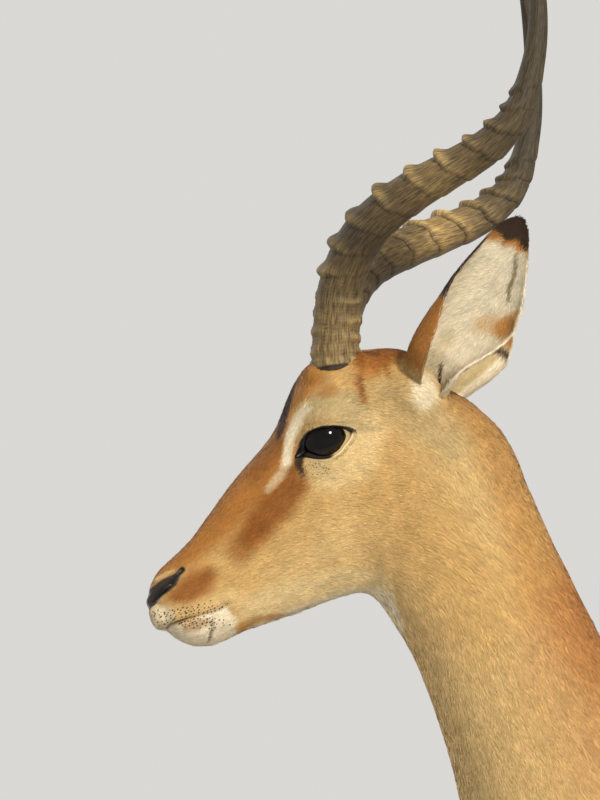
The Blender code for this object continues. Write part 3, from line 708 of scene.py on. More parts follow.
def lids(side, tree):
    """Both lids of one eye: a band of rings from inside the opening out to the skin round it."""
    axes, centre = eye_axes(side), EYES[side]
    points = []
    for share, rise, upper_rise in LID_RINGS:
        for a, b in OPENING_RING[::2] * share:
            start = centre + np.array([a, b, RAY_START]) * MM @ axes
            hit = tree.ray_cast(Vector(start), Vector(-axes[2]))[0]
            height = (np.array(hit) - centre) @ axes[2] / MM
            upper = float(ease(np.array((b + 4) / 8)))
            points.append(centre + np.array([a, b, height + rise + upper * upper_rise]) * MM @ axes)
    faces = lofted_faces(len(LID_RINGS), len(OPENING_RING) // 2, closed=True)
    if side == "left":
        faces = faces[:, ::-1]
    return new_piece("lids", points, faces)


# ---------------------------------------------------------------- ears

# Ear, root to tip: share of its length, front and rear edge (millimetres from its axis), how far round
# the front and the rear margin curl (degrees), depth of the cup against its half width, and how far it
# dives into the head (millimetres).
EAR = np.array(
    [
        (-0.16, -20, 0, 168, 120, 0.80, 42),
        (-0.08, -26, 3, 168, 114, 0.80, 24),
        (0.000, -30.5, 6, 168, 110, 0.78, 11),
        (0.067, -33.5, 7.5, 166, 107, 0.76, 4),
        (0.133, -34.8, 10.5, 161, 102, 0.72, 0),
        (0.200, -35.4, 17, 153, 98, 0.68, 0),
        (0.280, -34.8, 24.8, 144, 95, 0.60, 0),
        (0.360, -33, 31, 132, 92, 0.54, 0),
        (0.420, -31.3, 34.3, 121, 90, 0.50, 0),
        (0.547, -29, 32.5, 106, 86, 0.46, 0),
        (0.667, -24.8, 27, 98, 78, 0.42, 0),
        (0.793, -19.2, 20.5, 91, 72, 0.38, 0),
        (0.867, -16.2, 15.5, 85, 70, 0.36, 0),
        (0.920, -13.2, 12, 80, 68, 0.34, 0),
        (0.967, -8.4, 8, 75, 66, 0.32, 0),
        (1.000, -3.4, 3.4, 70, 64, 0.30, 0),
    ],
    float,
)
EAR_LENGTH = 150.5
EAR_ROOT = (288, 54, -12.5)
EAR_RISE, EAR_OUT, EAR_TURN = math.radians(63.5), math.radians(16), math.radians(-3)
EAR_SWAY = math.radians(5)  # how much more upright the right ear stands


def ear_axes(side):
    """Root to tip, front to rear, and out through the back of the cup."""
    sign = SIDES[side]
    to_world = np.array([-AHEAD, SIDEWAYS, CROWN])
    rise = EAR_RISE + (EAR_SWAY if side == "right" else 0)
    level_reach = math.cos(EAR_OUT)
    axis = np.array([math.cos(rise) * level_reach, sign * math.sin(EAR_OUT), math.sin(rise) * level_reach])
    level = np.array([math.sin(rise), 0, -math.cos(rise)])
    turn = sign * EAR_TURN
    across = level * math.cos(turn) + np.cross(axis, level) * math.sin(turn)
    back = np.cross(axis, across)
    if back[1] * sign > 0:
        back = -back
    return np.array([axis, across, back]) @ to_world


def ear_root(side):
    return from_head((EAR_ROOT[0], SIDES[side] * EAR_ROOT[1], EAR_ROOT[2]))


def ear(side):
    """One ear as a closed thin cup with a rolled edge and faint pleats inside."""
    rows, columns = 84, 44
    places, lobe = [], []
    shares = ease(np.linspace(0, 1, rows)) * 0.35 + np.linspace(0, 1, rows) * 0.65
    turn = np.linspace(-1, 1, columns)
    for share in EAR[0, 0] + shares * (1 - EAR[0, 0]):
        row = [np.interp(share, EAR[:, 0], column) for column in EAR.T[1:]]
        front, rear, curl_front, curl_rear, cup, dive = row
        taper = math.sqrt(max(0.0, 1 - (max(share - 0.93, 0) / 0.07) ** 2))
        curls = np.radians([curl_front, curl_rear])
        square = np.minimum(curls, math.pi / 2)
        reaches, ends = np.sin(square), np.cos(square)
        half, centre = (rear - front) / 2 * (0.3 + 0.7 * taper), (rear + front) / 2
        swing = np.where(turn < 0, turn * curls[0], turn * curls[1])
        widen = np.where(turn < 0, 1 / reaches[0], 1 / reaches[1])
        ahead = 0.5 + 0.5 * np.sin(swing)
        limit = ends[0] * (1 - ahead) + ends[1] * ahead
        edge = np.abs(turn)
        thick = 1.5 + 2.2 * ease((0.35 - share) / 0.35)
        thick = thick * np.sqrt(1 - 0.75 * edge**6) * (0.4 + 0.6 * taper)
        pleats = 0.6 * np.cos(swing * 7) * ease((0.75 - share) / 0.3) * (1 - edge**4)
        for sign in (1, -1):
            order = slice(None, None, sign)
            inside = sign < 0
            reach = half + sign * thick / 2
            depth = cup * reach * (np.cos(swing) - limit) + inside * pleats + dive
            across = centre + widen * reach * np.sin(swing)
            along, of_length = np.full(columns, share * EAR_LENGTH), np.full(columns, share)
            places.append(np.stack([along, across, depth], axis=1)[order])
            lobe.append(np.stack([of_length, across, turn, np.full(columns, inside)], axis=1)[order])
    grid = np.concatenate(places).reshape(rows, 2 * columns, 3)
    grid[-1] = grid[-1].mean(axis=0)
    grid[0] = grid[0].mean(axis=0)
    points = ear_root(side) + grid.reshape(-1, 3) * MM @ ear_axes(side)
    piece = new_piece(f"ear_{side}_skin", points, lofted_faces(rows, 2 * columns, closed=True))
    lobe = np.concatenate(lobe)
    set_vectors(piece.data, "Lobe", lobe[:, :3])
    set_values(piece.data, "Cup", lobe[:, 3])
    set_values(piece.data, "Ear", np.full(len(lobe), ZONES.index("ear_" + side)))
    face_outwards(piece)
    return piece


def face_outwards(piece):
    """Welds the points that lie together, then turns every face outwards."""
    make_active(piece)
    bpy.ops.object.mode_set(mode="EDIT")
    bpy.ops.mesh.select_all(action="SELECT")
    bpy.ops.mesh.remove_doubles(threshold=0.01 * MM)
    bpy.ops.mesh.normals_make_consistent(inside=False)
    bpy.ops.object.mode_set(mode="OBJECT")


# ---------------------------------------------------------------- skin

# Depth of the coat, by which the skin lies inside the solids (millimetres).
COAT_DEPTH = {
    "head": 1.0, "neck": 2.0, "trunk": 2.4, "tail": 3.0, "foreleg": 1.2, "hindleg": 1.4, "ear": 0.0,
}
BODY_SHARE = 0.44  # share of the form's triangles kept, with none lost on the head

# Head relief: height, softness, then along, out, up, radius in head places (all millimetres).
HEAD_RELIEF = (
    (0.9, 7, ((150, 44, 34, 2), (172, 47, 40, 2), (196, 50, 38, 3), (218, 50, 28, 2))),
    (-1.2, 9, ((150, 46, 14, 3), (140, 44, 4, 2))),
    (1.0, 8, ((172, 48, -24, 1), (140, 43, -26, 2), (108, 36, -26, 1))),
    (-1.0, 12, ((232, 50, 2, 4), (226, 50, -16, 4))),
    (-0.9, 10, ((214, 46, -44, 2), (196, 45, -74, 2), (176, 38, -92, 2))),
    (0.9, 12, ((190, 45, -52, 6), (168, 42, -70, 6))),
    (0.8, 9, ((60, 25, -8, 2), (90, 31, -14, 2))),
    (6.4, 9, ((-2, 0, -10, 4), (-1, 7, -9, 4))),
    (2.4, 7, ((4, 0, 3, 2), (5, 5, 3, 2))),
    (4.5, 10, ((221, 34, 62, 4), (230, 42, 54, 4), (243, 44, 46, 4), (254, 36, 44, 4))),
    (1.0, 4, ((3, 9, -14, 2), (12, 19, -20, 2), (24, 23, -25, 2), (40, 24, -31, 1.5), (52, 25, -34, 1))),
    (0.6, 5, ((8, 12, -33, 2), (20, 16, -39, 3), (34, 17, -44, 2))),
    (-1.7, 2.4, (
        (-4, 0, -20, 0.4), (5, 13, -21, 0.4), (10, 17, -24, 0.4), (19, 21, -28, 0.3), (29, 22, -33, 0.2),
    )),
    (-0.9, 2.4, ((29, 22, -33, 0.2), (37, 22, -36, 0.2), (45, 22, -39, 0.1), (52, 23, -39, 0))),
    (-0.9, 1.8, ((35, 22, -37, 0), (31, 20, -41, 0.2), (27, 16, -45, 0.2), (19, 5, -50, 0))),
    (-1.5, 6, ((12, 0, 15, 2), (20, 0, 19, 2))),
    (1.2, 2.4, ((10, 9, 13.5, 0.6), (16, 14, 12, 0.8), (22, 17, 11, 0.6), (29, 19, 10, 0.3))),
    (-3.4, 2.8, ((8, 9.5, 4, 1.0), (13, 14, 4.5, 1.6), (19, 17.5, 4.5, 1.2), (26, 19.5, 5, 0.4))),
    (-1.8, 1.6, ((26, 19.5, 4.5, 0.4), (33, 20, 6.5, 0.3), (39.5, 20, 7.5, 0.8))),
    (6.0, 24, ((280, 44, -4, 8), (292, 38, 4, 6))),
    (3.0, 15, ((272, 46, 16, 5), (264, 47, 4, 5))),
    (-0.8, 2.5, ((-1, 0, 0, 0.2), (-1, 0, -17, 0.2))),
    (-0.8, 2.5, ((172, 49, 19, 0.5), (161, 47, 10, 0.8), (156, 46, 2, 0.2))),
)

# Where the front of the neck stands fuller, in body places, and by how much (millimetres).
THROAT = ((-438, 0, 1120, 4), (-414, 0, 1066, 5), (-390, 0, 994, 6), (-372, 0, 930, 4))
THROAT_RISE, THROAT_SOFTNESS = 5.5, 42

# How much each zone is rounded off, against the most.
SMOOTHING = {
    "head": 0.0, "neck": 1.0, "trunk": 1.0, "tail": 0.1, "foreleg": 0.15, "hindleg": 0.25, "ear": 0.0,
}
PUSH_BACK = 0.51  # share of a smoothing step taken back, so that the form keeps its fullness
SEAM_FILL = 0.0005  # metres by which the solids swell, which closes the thin cuts between them
SKIN_LIGHT = 0.95  # how light the skin is against the coat over it


def flesh_form(cell):
    """The flesh solids as one closed form, with the eye openings filled."""
    form = welded_copy(FLESH, "flesh")
    plugs = []
    for side in SIDES:
        place = EYES[side]
        bpy.ops.mesh.primitive_ico_sphere_add(subdivisions=4, radius=LID_RADIUS * MM, location=place)
        plugs.append(bpy.context.object)
    form = join([form] + plugs, "skin")
    apply_modifier(form, "DISPLACE", strength=SEAM_FILL, mid_level=0.0)
    apply_modifier(form, "REMESH", mode="VOXEL", voxel_size=cell)
    return form


def head_only(points, reach):
    """1 on the head out to reach from its middle, easing to 0."""
    u, _, v = to_head(points).T
    return ease((reach - np.hypot(u - 160, (v + 8) * 1.15)) / 25)


def smooth_flesh(mesh):
    """Rounds off the facets: most on the trunk and neck, least on the head."""
    points = points_of(mesh)
    edges = read(mesh.edges, "vertices", 2, np.int32)
    zones = flesh_zones(points)
    broad = relax(by_zone(zones, SMOOTHING)[:, None], edges, 12)[:, 0]
    points = relax(points, edges, 42, broad)
    points = relax(points, edges, 10, 1 - 0.6 * broad, kept=PUSH_BACK)
    set_points(mesh, points)
    normals = normals_of(mesh)
    depth = relax(by_zone(zones, COAT_DEPTH)[:, None], edges, 8)
    fuller = THROAT_RISE * stroke(body_places(points), THROAT, THROAT_SOFTNESS)
    set_points(mesh, points + normals * (fuller[:, None] - depth) * MM)


def near_eye(points, reach):
    gaps = [np.linalg.norm(points - EYES[side], axis=1) for side in SIDES]
    return np.min(gaps, axis=0) < reach


def wetness(points):
    """1 on the nose and the edges of the lids, which shine."""
    wet = stroke(mirrored(to_head(points)), NOSE, NOSE_SOFTNESS)
    for side in SIDES:
        a, b, out = to_eye(points, side).T
        beside_eye = (np.hypot(a, b) < 34) * (np.abs(out) < 30)
        wet = np.maximum(wet, ease((1.10 - lid_share(a, b)) / 0.06) * beside_eye)
    return wet


def thin_out_body(piece):
    """Collapses short edges behind the head, where the form is smooth."""
    behind = head_only(points_of(piece.data), 240) < 0.01
    group = piece.vertex_groups.new(name="behind the head")
    group.add(np.flatnonzero(behind).tolist(), 1.0, "REPLACE")
    apply_modifier(piece, "DECIMATE", ratio=BODY_SHARE, vertex_group=group.name)
    piece.vertex_groups.clear()


def refine_head(piece):
    """Finer faces on the head, and finer still round the eyes and on the muzzle."""
    mesh = piece.data
    subdivide_where(piece, lambda p: (head_only(p, 195) > 0.5) & (p[:, 2] > 1.08))
    relax_mesh(mesh, 3, head_only(points_of(mesh), 190), kept=PUSH_BACK)
    subdivide_where(piece, lambda p: near_eye(p, 0.040) | (to_head(p)[:, 0] < 66) & (p[:, 2] > 1.05))
    points = points_of(mesh)
    finest = near_eye(points, EYE_REGION) | (to_head(points)[:, 0] < 70)
    relax_mesh(mesh, 3, finest, kept=PUSH_BACK)


def sculpt_head(mesh):
    """Brow, cheek, lips, nostrils and mouth, as the HEAD_RELIEF table gives them."""
    points, normals = points_of(mesh), normals_of(mesh)
    near = np.flatnonzero(head_only(points, 230) > 0)
    places = mirrored(to_head(points[near]))
    height = np.zeros(len(near))
    for rise, softness, route in HEAD_RELIEF:
        height += rise * stroke(places, route, softness)
    points[near] += normals[near] * height[:, None] * MM
    set_points(mesh, points)


def sink_under_lids(mesh):
    """Room under the lids, with the points there marked as hidden."""
    points = points_of(mesh)
    hidden = np.zeros(len(points), np.float32)
    for side in SIDES:
        near = np.flatnonzero(np.linalg.norm(points - EYES[side], axis=1) < 0.05)
        a, b, _ = to_eye(points[near], side).T
        share = lid_share(a, b)
        sink = 2.0 * ease((1.72 - share) / 0.16) + 7.0 * ease((1.0 - share) / 0.15)
        points[near] -= (sink * MM)[:, None] * eye_axes(side)[2]
        hidden[near] = share < 1.66
    set_points(mesh, points)
    set_values(mesh, "Hidden", hidden)


def tree_of(mesh):
    """The mesh as a tree of triangles, and the points at the corners of each."""
    mesh.calc_loop_triangles()
    corners = read(mesh.loop_triangles, "vertices", 3, np.int32)
    return BVHTree.FromPolygons(points_of(mesh).tolist(), corners.tolist()), corners


class IMPALA_OT_skin(Operator):
    """Join the flesh into one skin, with its folds, lids and ears"""

    bl_idname = "impala.skin"
    bl_label = "Skin"

    def execute(self, context):
        skin = flesh_form(context.scene.impala.form.cell)
        smooth_flesh(skin.data)
        thin_out_body(skin)
        refine_head(skin)
        sculpt_head(skin.data)
        tree, _ = tree_of(skin.data)
        eyelids = [lids(side, tree) for side in SIDES]
        sink_under_lids(skin.data)
        skin = join([skin] + eyelids + [ear(side) for side in SIDES], "skin")
        skin.data.shade_smooth()
        points, normals = points_of(skin.data), normals_of(skin.data)
        lobe = read(skin.data.attributes["Lobe"].data, "vector", 3)
        cup = read(skin.data.attributes["Cup"].data, "value", 1)
        colours = markings(points, normals, skin_zones(skin.data), lobe, cup)
        set_colours(skin.data, colours * SKIN_LIGHT)
        set_values(skin.data, "Wet", wetness(points))
        skin.data.materials.append(skin_finish())
        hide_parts(*FLESH, *EARS)
        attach(skin, "root")
        return {"FINISHED"}


WET_ROUGHNESS = 0.28


def skin_finish():
    """Hide under the coat: dull where it is haired, glossy where the Wet attribute marks nose and lids."""
    material = painted("skin", 0.7, 0.3, 900, 0.0005)
    tree = material.node_tree
    shader = tree.nodes["Principled BSDF"]
    dull = shader.inputs["Roughness"].links[0].from_socket
    wet = tree.nodes.new("ShaderNodeAttribute")
    wet.attribute_name = "Wet"
    gloss = tree.nodes.new("ShaderNodeMix")
    gloss.data_type = "FLOAT"
    tree.links.new(wet.outputs["Fac"], gloss.inputs["Factor"])
    tree.links.new(dull, gloss.inputs["A"])
    gloss.inputs["B"].default_value = WET_ROUGHNESS
    tree.links.new(gloss.outputs["Result"], shader.inputs["Roughness"])
    return material


# ---------------------------------------------------------------- eyes

GAZE = (0.05, -0.12, 1.0)  # where the pupil points, along the axes of its own eye
IRIS_RAYS = 46
INNER_CORNER = np.array([170.0, 146.0, 110.0])  # display colour of the ball at its rear corner


def eyeball(side, iris, pupil):
    """A ball with a swollen cornea, coloured by how far out each point lies."""
    bpy.ops.mesh.primitive_uv_sphere_add(segments=96, ring_count=64, radius=1.0)
    ball = bpy.context.object
    ball.name = ball.data.name = f"eyeball_{side}"
    mesh = ball.data
    local = points_of(mesh)
    off_axis = np.arccos(np.clip(local @ unit(GAZE), -1, 1))
    swell = 1.3 * ease((0.85 - off_axis) / 0.5)
    reach = (EYE_RADIUS + 0.35 + swell) * MM
    set_points(mesh, EYES[side] + local * reach[:, None] @ eye_axes(side))
    a, b = local[:, 0] * EYE_RADIUS, local[:, 1] * EYE_RADIUS
    turn = np.arctan2(b, a)
    rays = 0.5 + 0.5 * np.sin(turn * IRIS_RAYS + 3 * np.sin(turn * 7))
    colours = np.tile(iris, (len(local), 1)) * (0.8 + 0.35 * rays)[:, None]
    colours = mix(colours, pupil, ease((12.5 - np.hypot(a * 0.72, (b + 2) * 1.35)) / 3))
    colours = mix(colours, pupil * 0.8, ease((off_axis - 0.80) / 0.08))
    colours = mix(colours, INNER_CORNER, ease((a - 15.6) / 1.0))
    set_colours(mesh, colours)
    face_outwards(ball)
    ball.data.shade_smooth()
    return ball


class IMPALA_OT_eyes(Operator):
    """Model the eyeballs behind the lids"""

    bl_idname = "impala.eyes"
    bl_label = "Eyes"

    def execute(self, context):
        tints = context.scene.impala.colours
        finish = painted("eye", 0.09, 0.16, 60, 0.00001)
        for side in SIDES:
            ball = eyeball(side, display(tints.iris), display(tints.pupil))
            ball.data.materials.append(finish)
            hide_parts("eye_" + side)
            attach(ball, "root")
        return {"FINISHED"}


# ---------------------------------------------------------------- horns

# Centre line of a horn from the lips' place: back towards the tail, out, up, then its radius (millimetres).
HORN = (
    (154, 27, 168, 19.0), (149.5, 29.5, 199, 19.0), (149.5, 34.5, 227, 18.3), (153, 44, 255, 17.9),
    (163, 59, 281, 17.8), (180, 78, 302, 17.4), (208, 98, 320, 16.6), (240, 113, 336, 15.2),
    (270, 123, 353, 14.2), (292, 130, 376, 12.4), (303, 134, 406, 10.0), (309, 135, 440, 8.2),
    (309.5, 133, 477, 6.6), (305, 128, 525, 5.0), (295, 119, 583, 2.6),
)
LOW_RINGS = (37, 51, 66, 82)  # low swellings, by how far up the horn they stand (millimetres)
KNOBS = (98, 120, 145, 173, 202, 229, 255, 279, 300, 317)  # the tall knobs beyond them
HORN_SAMPLES = 600  # places on the curve from which its length is measured
HORN_SIDES, HORN_STEP = 52, 1.15  # points round the horn, and the step along it (millimetres)
HORN_FRONT = np.array([-1, 0, 0.35])  # the way the knobs face: back, out, up
FIBRE_STRETCH = 11  # how much longer than wide the grain of its fibres is
RING_SLANT = 15.0  # how far a ridge climbs from the horn's front to its back


def ring_wave(place, at, rise, fall):
    """A ridge that climbs slowly over rise and drops over fall beyond its crest."""
    gap = place - at
    return np.where(gap < 0, ease(1 + gap / rise), ease(1 - gap / fall))


def horn_relief(place, angle, inner, height):
    """Height of the rings at a place along the horn and an angle from its front (millimetres)."""
    front = 0.5 + 0.5 * np.cos(angle)
    wander = 0.9 * np.sin(3 * angle + place * 0.11) + 0.7 * np.sin(7 * angle + 1.7)
    relief = np.zeros(np.broadcast(place, angle).shape)
    for number, at in enumerate(LOW_RINGS):
        crest = at + 2.4 * np.sin(angle + 1.3 * number) + 0.8 * wander
        relief += (1.05 + 0.75 * np.cos(2 * angle + 0.5 * number)) * ring_wave(place, crest, 5.0, 5.5)
    for number, at in enumerate(KNOBS):
        crest = at + RING_SLANT * (1 - front) ** 0.9 + wander * (1.4 - front)
        full = 1 - ((at - 165) / 200) ** 2
        round_side = 0.20 + 0.48 * inner + 0.36 * ease(np.array((at - 205) / 50))
        knob = front**3.0 * (1 + 0.18 * math.sin(number * 2.7))
        relief += height * full * 0.95 * knob * ring_wave(place, crest, 4.4, 9.5)
        relief += 1.5 * full * round_side * ring_wave(place, crest, 2.6, 14.0)
        groove = ring_wave(place, crest - 3.6, 1.3, 1.5)
        relief -= 0.78 * full * np.minimum(1, round_side + 0.4 * knob) * groove
    wrinkles = np.sin(place * 2.1 + 1.8 * np.sin(angle * 2 + place * 0.13) + 1.1 * np.sin(angle * 5))
    relief += wrinkles * (0.06 + 0.17 * ease((125 - place) / 60))
    collar = ease((34 - place) / 3) * ease((place - 21) / 3)
    relief += 1.3 * collar * (1 + 0.4 * np.sin(angle * 5 + 1) + 0.3 * np.sin(angle * 11))
    fibres = 0.10 * np.sin(angle * 34 + 2.2 * np.sin(place * 0.05 + angle * 3))
    fibres = fibres + 0.08 * np.sin(angle * 61 + place * 0.02)
    return relief + fibres * ease((420 - place) / 200)


def horn_form(side, height):
    """One sheath, and for each of its points the relief, the place along it and how far inward it faces."""
    line = spline(HORN, HORN_SAMPLES)
    gaps = np.linalg.norm(np.diff(line[:, :3], axis=0), axis=1)
    run = np.concatenate([[0], np.cumsum(gaps)])
    steps = np.linspace(0, run[-1], int(run[-1] / HORN_STEP))
    rows = np.stack([np.interp(steps, run, column) for column in line.T], axis=1)
    centre, radius = rows[:, :3], rows[:, 3:]
    centre[:, 1] *= SIDES[side]
    along = unit(np.gradient(centre, axis=0))
    front = unit(HORN_FRONT - along * (along @ HORN_FRONT)[:, None])
    beside = np.cross(along, front)
    angle = np.linspace(0, 2 * math.pi, HORN_SIDES, endpoint=False)[None, :]
    signed = np.where(angle > math.pi, angle - 2 * math.pi, angle)
    inner = 0.5 + 0.5 * np.sin(signed) * SIDES[side]
    relief = horn_relief(steps[:, None], signed, inner, height)
    closing = np.sqrt(np.clip((steps[-1] - steps) / 4.0, 0, 1))[:, None]
    skirt = (1 - 0.10 * ease((22 - steps) / 5))[:, None]
    reach = (radius + relief) * closing * skirt
    ring = front[:, None] * np.cos(angle)[..., None] + beside[:, None] * np.sin(angle)[..., None]
    places = centre[:, None] + ring * reach[..., None]
    places[0] = centre[0]
    to_world = np.array([-AHEAD, SIDEWAYS, CROWN])
    points = MUZZLE + places.reshape(-1, 3) * MM @ to_world
    piece = new_piece(f"horn_{side}_sheath", points, lofted_faces(len(steps), HORN_SIDES, closed=True))
    lengthwise = np.broadcast_to(steps[:, None], reach.shape) / FIBRE_STRETCH
    grain = np.stack([radius * np.cos(angle), radius * np.sin(angle), lengthwise], axis=-1)
    set_vectors(piece.data, "Grain", grain.reshape(-1, 3) * MM)
    place, inner = np.repeat(steps, HORN_SIDES), np.tile(inner.ravel(), len(steps))
    return piece, relief.ravel(), place, inner


# How light the horn's outer side is, by how far up it lies (millimetres).
HORN_TONE = (
    (0, 1.02), (50, 1.02), (95, 0.80), (140, 0.56), (185, 0.76), (220, 1.0), (265, 0.70), (320, 0.43),
    (510, 0.29),
)


def horn_colours(relief, place, inner, points, light, dark):
    """Lit and shaded copies of the horn colour mixed by relief: pale knobs with painted highlights on their
    tops, painted shade in the grooves and low between the ridges, a darker middle and tip, and a dark rim at
    the base.
    """
    crest = ease((relief + 0.1) / 2.6)
    # Painted shade: low places between the ridges take the shaded copy.
    colours = mix(np.tile(light, (len(relief), 1)), dark, 0.60 * (1 - crest) * ease((330 - place) / 60))
    # Painted shade in the grooves.
    colours = mix(colours, dark * 0.45, ease((-relief - 0.10) / 0.45))
    # Painted highlight on the tops of the knobs.
    colours = mix(colours, light * 1.12, ease((relief - 2.2) / 1.6))
    colours *= np.interp(place, *np.transpose(HORN_TONE))[:, None]
    paler = 0.30 * ease((inner - 0.45) / 0.4) * ease((place - 80) / 40) * ease((330 - place) / 90)
    colours *= (1 + paler)[:, None]
    colours = mix(colours, dark * 0.42, ease((27.0 - place) / 1.6) * ease((place - 22.0) / 2.0))
    colours = mix(colours, dark * 0.75, ease((24.0 - place) / 1.5))
    broad, fine = mottle(points, 0.02)[:, None], mottle(points, 0.006, 3.0)[:, None]
    return colours * (1 + 0.07 * broad + 0.06 * fine)


class IMPALA_OT_horns(Operator):
    """Loft the ringed horn sheaths"""

    bl_idname = "impala.horns"
    bl_label = "Horns"

    def execute(self, context):
        settings, tints = context.scene.impala.form, context.scene.impala.colours
        finish = horn_finish()
        for side in SIDES:
            horn, *surface = horn_form(side, settings.ring_height / MM)
            tones = display(tints.horn_lit), display(tints.horn_dark_and_shade)
            set_colours(horn.data, horn_colours(*surface, points_of(horn.data), *tones))
            horn.data.materials.append(finish)
            face_outwards(horn)
            horn.data.shade_smooth()
            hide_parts("horn_" + side)
            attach(horn, "root")
        return {"FINISHED"}


# What the noise of the fibres does to the horn's colour.
FIBRE_TONES = {"From Min": 0.33, "From Max": 0.67, "To Min": 0.38, "To Max": 1.40}


def horn_finish():
    """Dry keratin with fine fibres along its length."""
    material = painted("horn", 0.62, 0.35, 950, 0.0013, grain_source="Grain")
    tree = material.node_tree
    shader = tree.nodes["Principled BSDF"]
    grain = next(node for node in tree.nodes if node.type == "TEX_NOISE")
    attributes = [node for node in tree.nodes if node.type == "ATTRIBUTE"]
    colour = next(node for node in attributes if node.attribute_name == "Col")
    tone = tree.nodes.new("ShaderNodeMapRange")
    for socket, value in FIBRE_TONES.items():
        tone.inputs[socket].default_value = value
    tree.links.new(grain.outputs["Fac"], tone.inputs["Value"])
    fibre = tree.nodes.new("ShaderNodeVectorMath")
    fibre.operation = "SCALE"
    tree.links.new(colour.outputs["Color"], fibre.inputs[0])
    tree.links.new(tone.outputs["Result"], fibre.inputs["Scale"])
    tree.links.new(fibre.outputs["Vector"], shader.inputs["Base Color"])
    return material


# ---------------------------------------------------------------- hooves

CLAWS = [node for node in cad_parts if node.startswith("hoof_")]
CLAW_CELL = 0.0019  # metres, as all sizes of the claws
CLAW_SWELL, CLAW_RISE, CLAW_RIDGE = 0.0007, 0.0002, 0.00022
RIDGE_START = 0.004  # height from which the ridges show
LOWEST_SOLE = 0.0003  # height of the sole's lowest places
WORN_HEIGHT = 0.012  # height over which the claw's edge is worn pale


class IMPALA_OT_hooves(Operator):
    """Round the claws and finish their horn"""

    bl_idname = "impala.hooves"
    bl_label = "Hooves"

    def execute(self, context):
        finish = painted("hoof", 0.42, 0.45, 420, 0.0004)
        dark = display(context.scene.impala.colours.hoof)
        for node in CLAWS:
            claw = welded_copy([node], node.replace("hoof", "claw"))
            apply_modifier(claw, "REMESH", mode="VOXEL", voxel_size=CLAW_CELL)
            relax_mesh(claw.data, 5)
            points = points_of(claw.data)
            points[:, 2] += CLAW_RIDGE * np.sin(points[:, 2] * 1500) + CLAW_RISE
            normals, height = normals_of(claw.data), points[:, 2:3]
            ridges = CLAW_RIDGE * np.sin(height * 1300)
            points += normals * CLAW_SWELL + normals * ridges * (height > RIDGE_START)
            points[:, 2] = np.clip(points[:, 2], LOWEST_SOLE, None)
            set_points(claw.data, points)
            worn = ease((WORN_HEIGHT - points[:, 2]) / WORN_HEIGHT)
            set_colours(claw.data, mix(np.tile(dark, (len(points), 1)), dark * 1.9, 0.6 * worn))
            claw.data.shade_smooth()
            claw.data.materials.append(finish)
            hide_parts(node)
            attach(claw, "root")
        return {"FINISHED"}


# ---------------------------------------------------------------- coat

# Tufts on each square centimetre, then their length, width and lift off the skin (millimetres).
GROWTH = {
    "head": (185, 5.6, 0.60, 0.40),
    "neck": (96, 8.5, 0.78, 0.38),
    "trunk": (27, 12.5, 1.50, 0.44),
    "tail": (42, 26.0, 1.5, 2.6),
    "foreleg": (32, 8.0, 1.05, 0.50),
    "hindleg": (30, 9.0, 1.15, 0.60),
    "ear": (92, 5.5, 0.62, 0.33),
}
MOST_TUFTS = 98000  # in one piece of the coat: each tuft is two triangles
COAT_SEED, BRISTLE_SEED = 100, 40
SCATTER, ROUNDING = 0.08, 0.22  # how far a tuft's shading leans at random, and from its middle to its sides
SWING, ROLL = 0.16, 0.22  # how far a tuft turns at random: over the skin, and about its own length (radians)
SIZE_SPREAD = (0.22, 0.18, 0.38)  # of its length, width and lift
LIGHT_SPREAD, TINT_SPREAD = 0.05, 0.010  # of a tuft's lightness, and of each of its three colours
ROOT_DEPTH = 0.0003  # metres under the skin

# Which way the coat lies: x, z and the lie along them, seen from the left.
LIE = (
    (-620, 1140, 0.78, 0.62), (-560, 1210, 0.78, 0.62), (-530, 1265, 0.75, 0.66),
    (-505, 1310, 0.55, 0.83), (-540, 1170, 0.95, 0.30), (-490, 1190, 0.98, 0.10),
    (-450, 1160, 0.95, -0.30), (-450, 1230, 0.97, -0.15), (-450, 1290, 0.90, -0.30),
    (-455, 1325, 0.95, 0.20), (-410, 1330, 0.90, -0.10), (-410, 1285, 0.70, -0.70),
    (-385, 1250, 0.55, -0.83), (-430, 1130, 0.55, -0.83), (-350, 1230, 0.52, -0.85),
    (-380, 1100, 0.38, -0.92), (-300, 1080, 0.42, -0.90), (-340, 960, 0.30, -0.95),
    (-250, 990, 0.50, -0.86), (-340, 800, 0.20, -0.98), (-250, 860, 0.50, -0.86),
    (-150, 950, 0.92, -0.35), (-200, 700, 0.40, -0.92), (-220, 560, 0.10, -0.99),
    (-220, 300, 0.05, -1.00), (-240, 80, 0.00, -1.00), (0, 900, 0.97, -0.20), (0, 720, 0.90, -0.42),
    (0, 560, 0.99, -0.10), (230, 900, 0.98, -0.15), (230, 740, 0.90, -0.42), (230, 600, 0.98, 0.10),
    (420, 900, 0.90, -0.42), (400, 740, 0.60, -0.80), (530, 820, 0.50, -0.86), (440, 580, 0.35, -0.94),
    (530, 430, 0.05, -1.00), (500, 200, 0.00, -1.00), (610, 700, 0.10, -1.00),
)


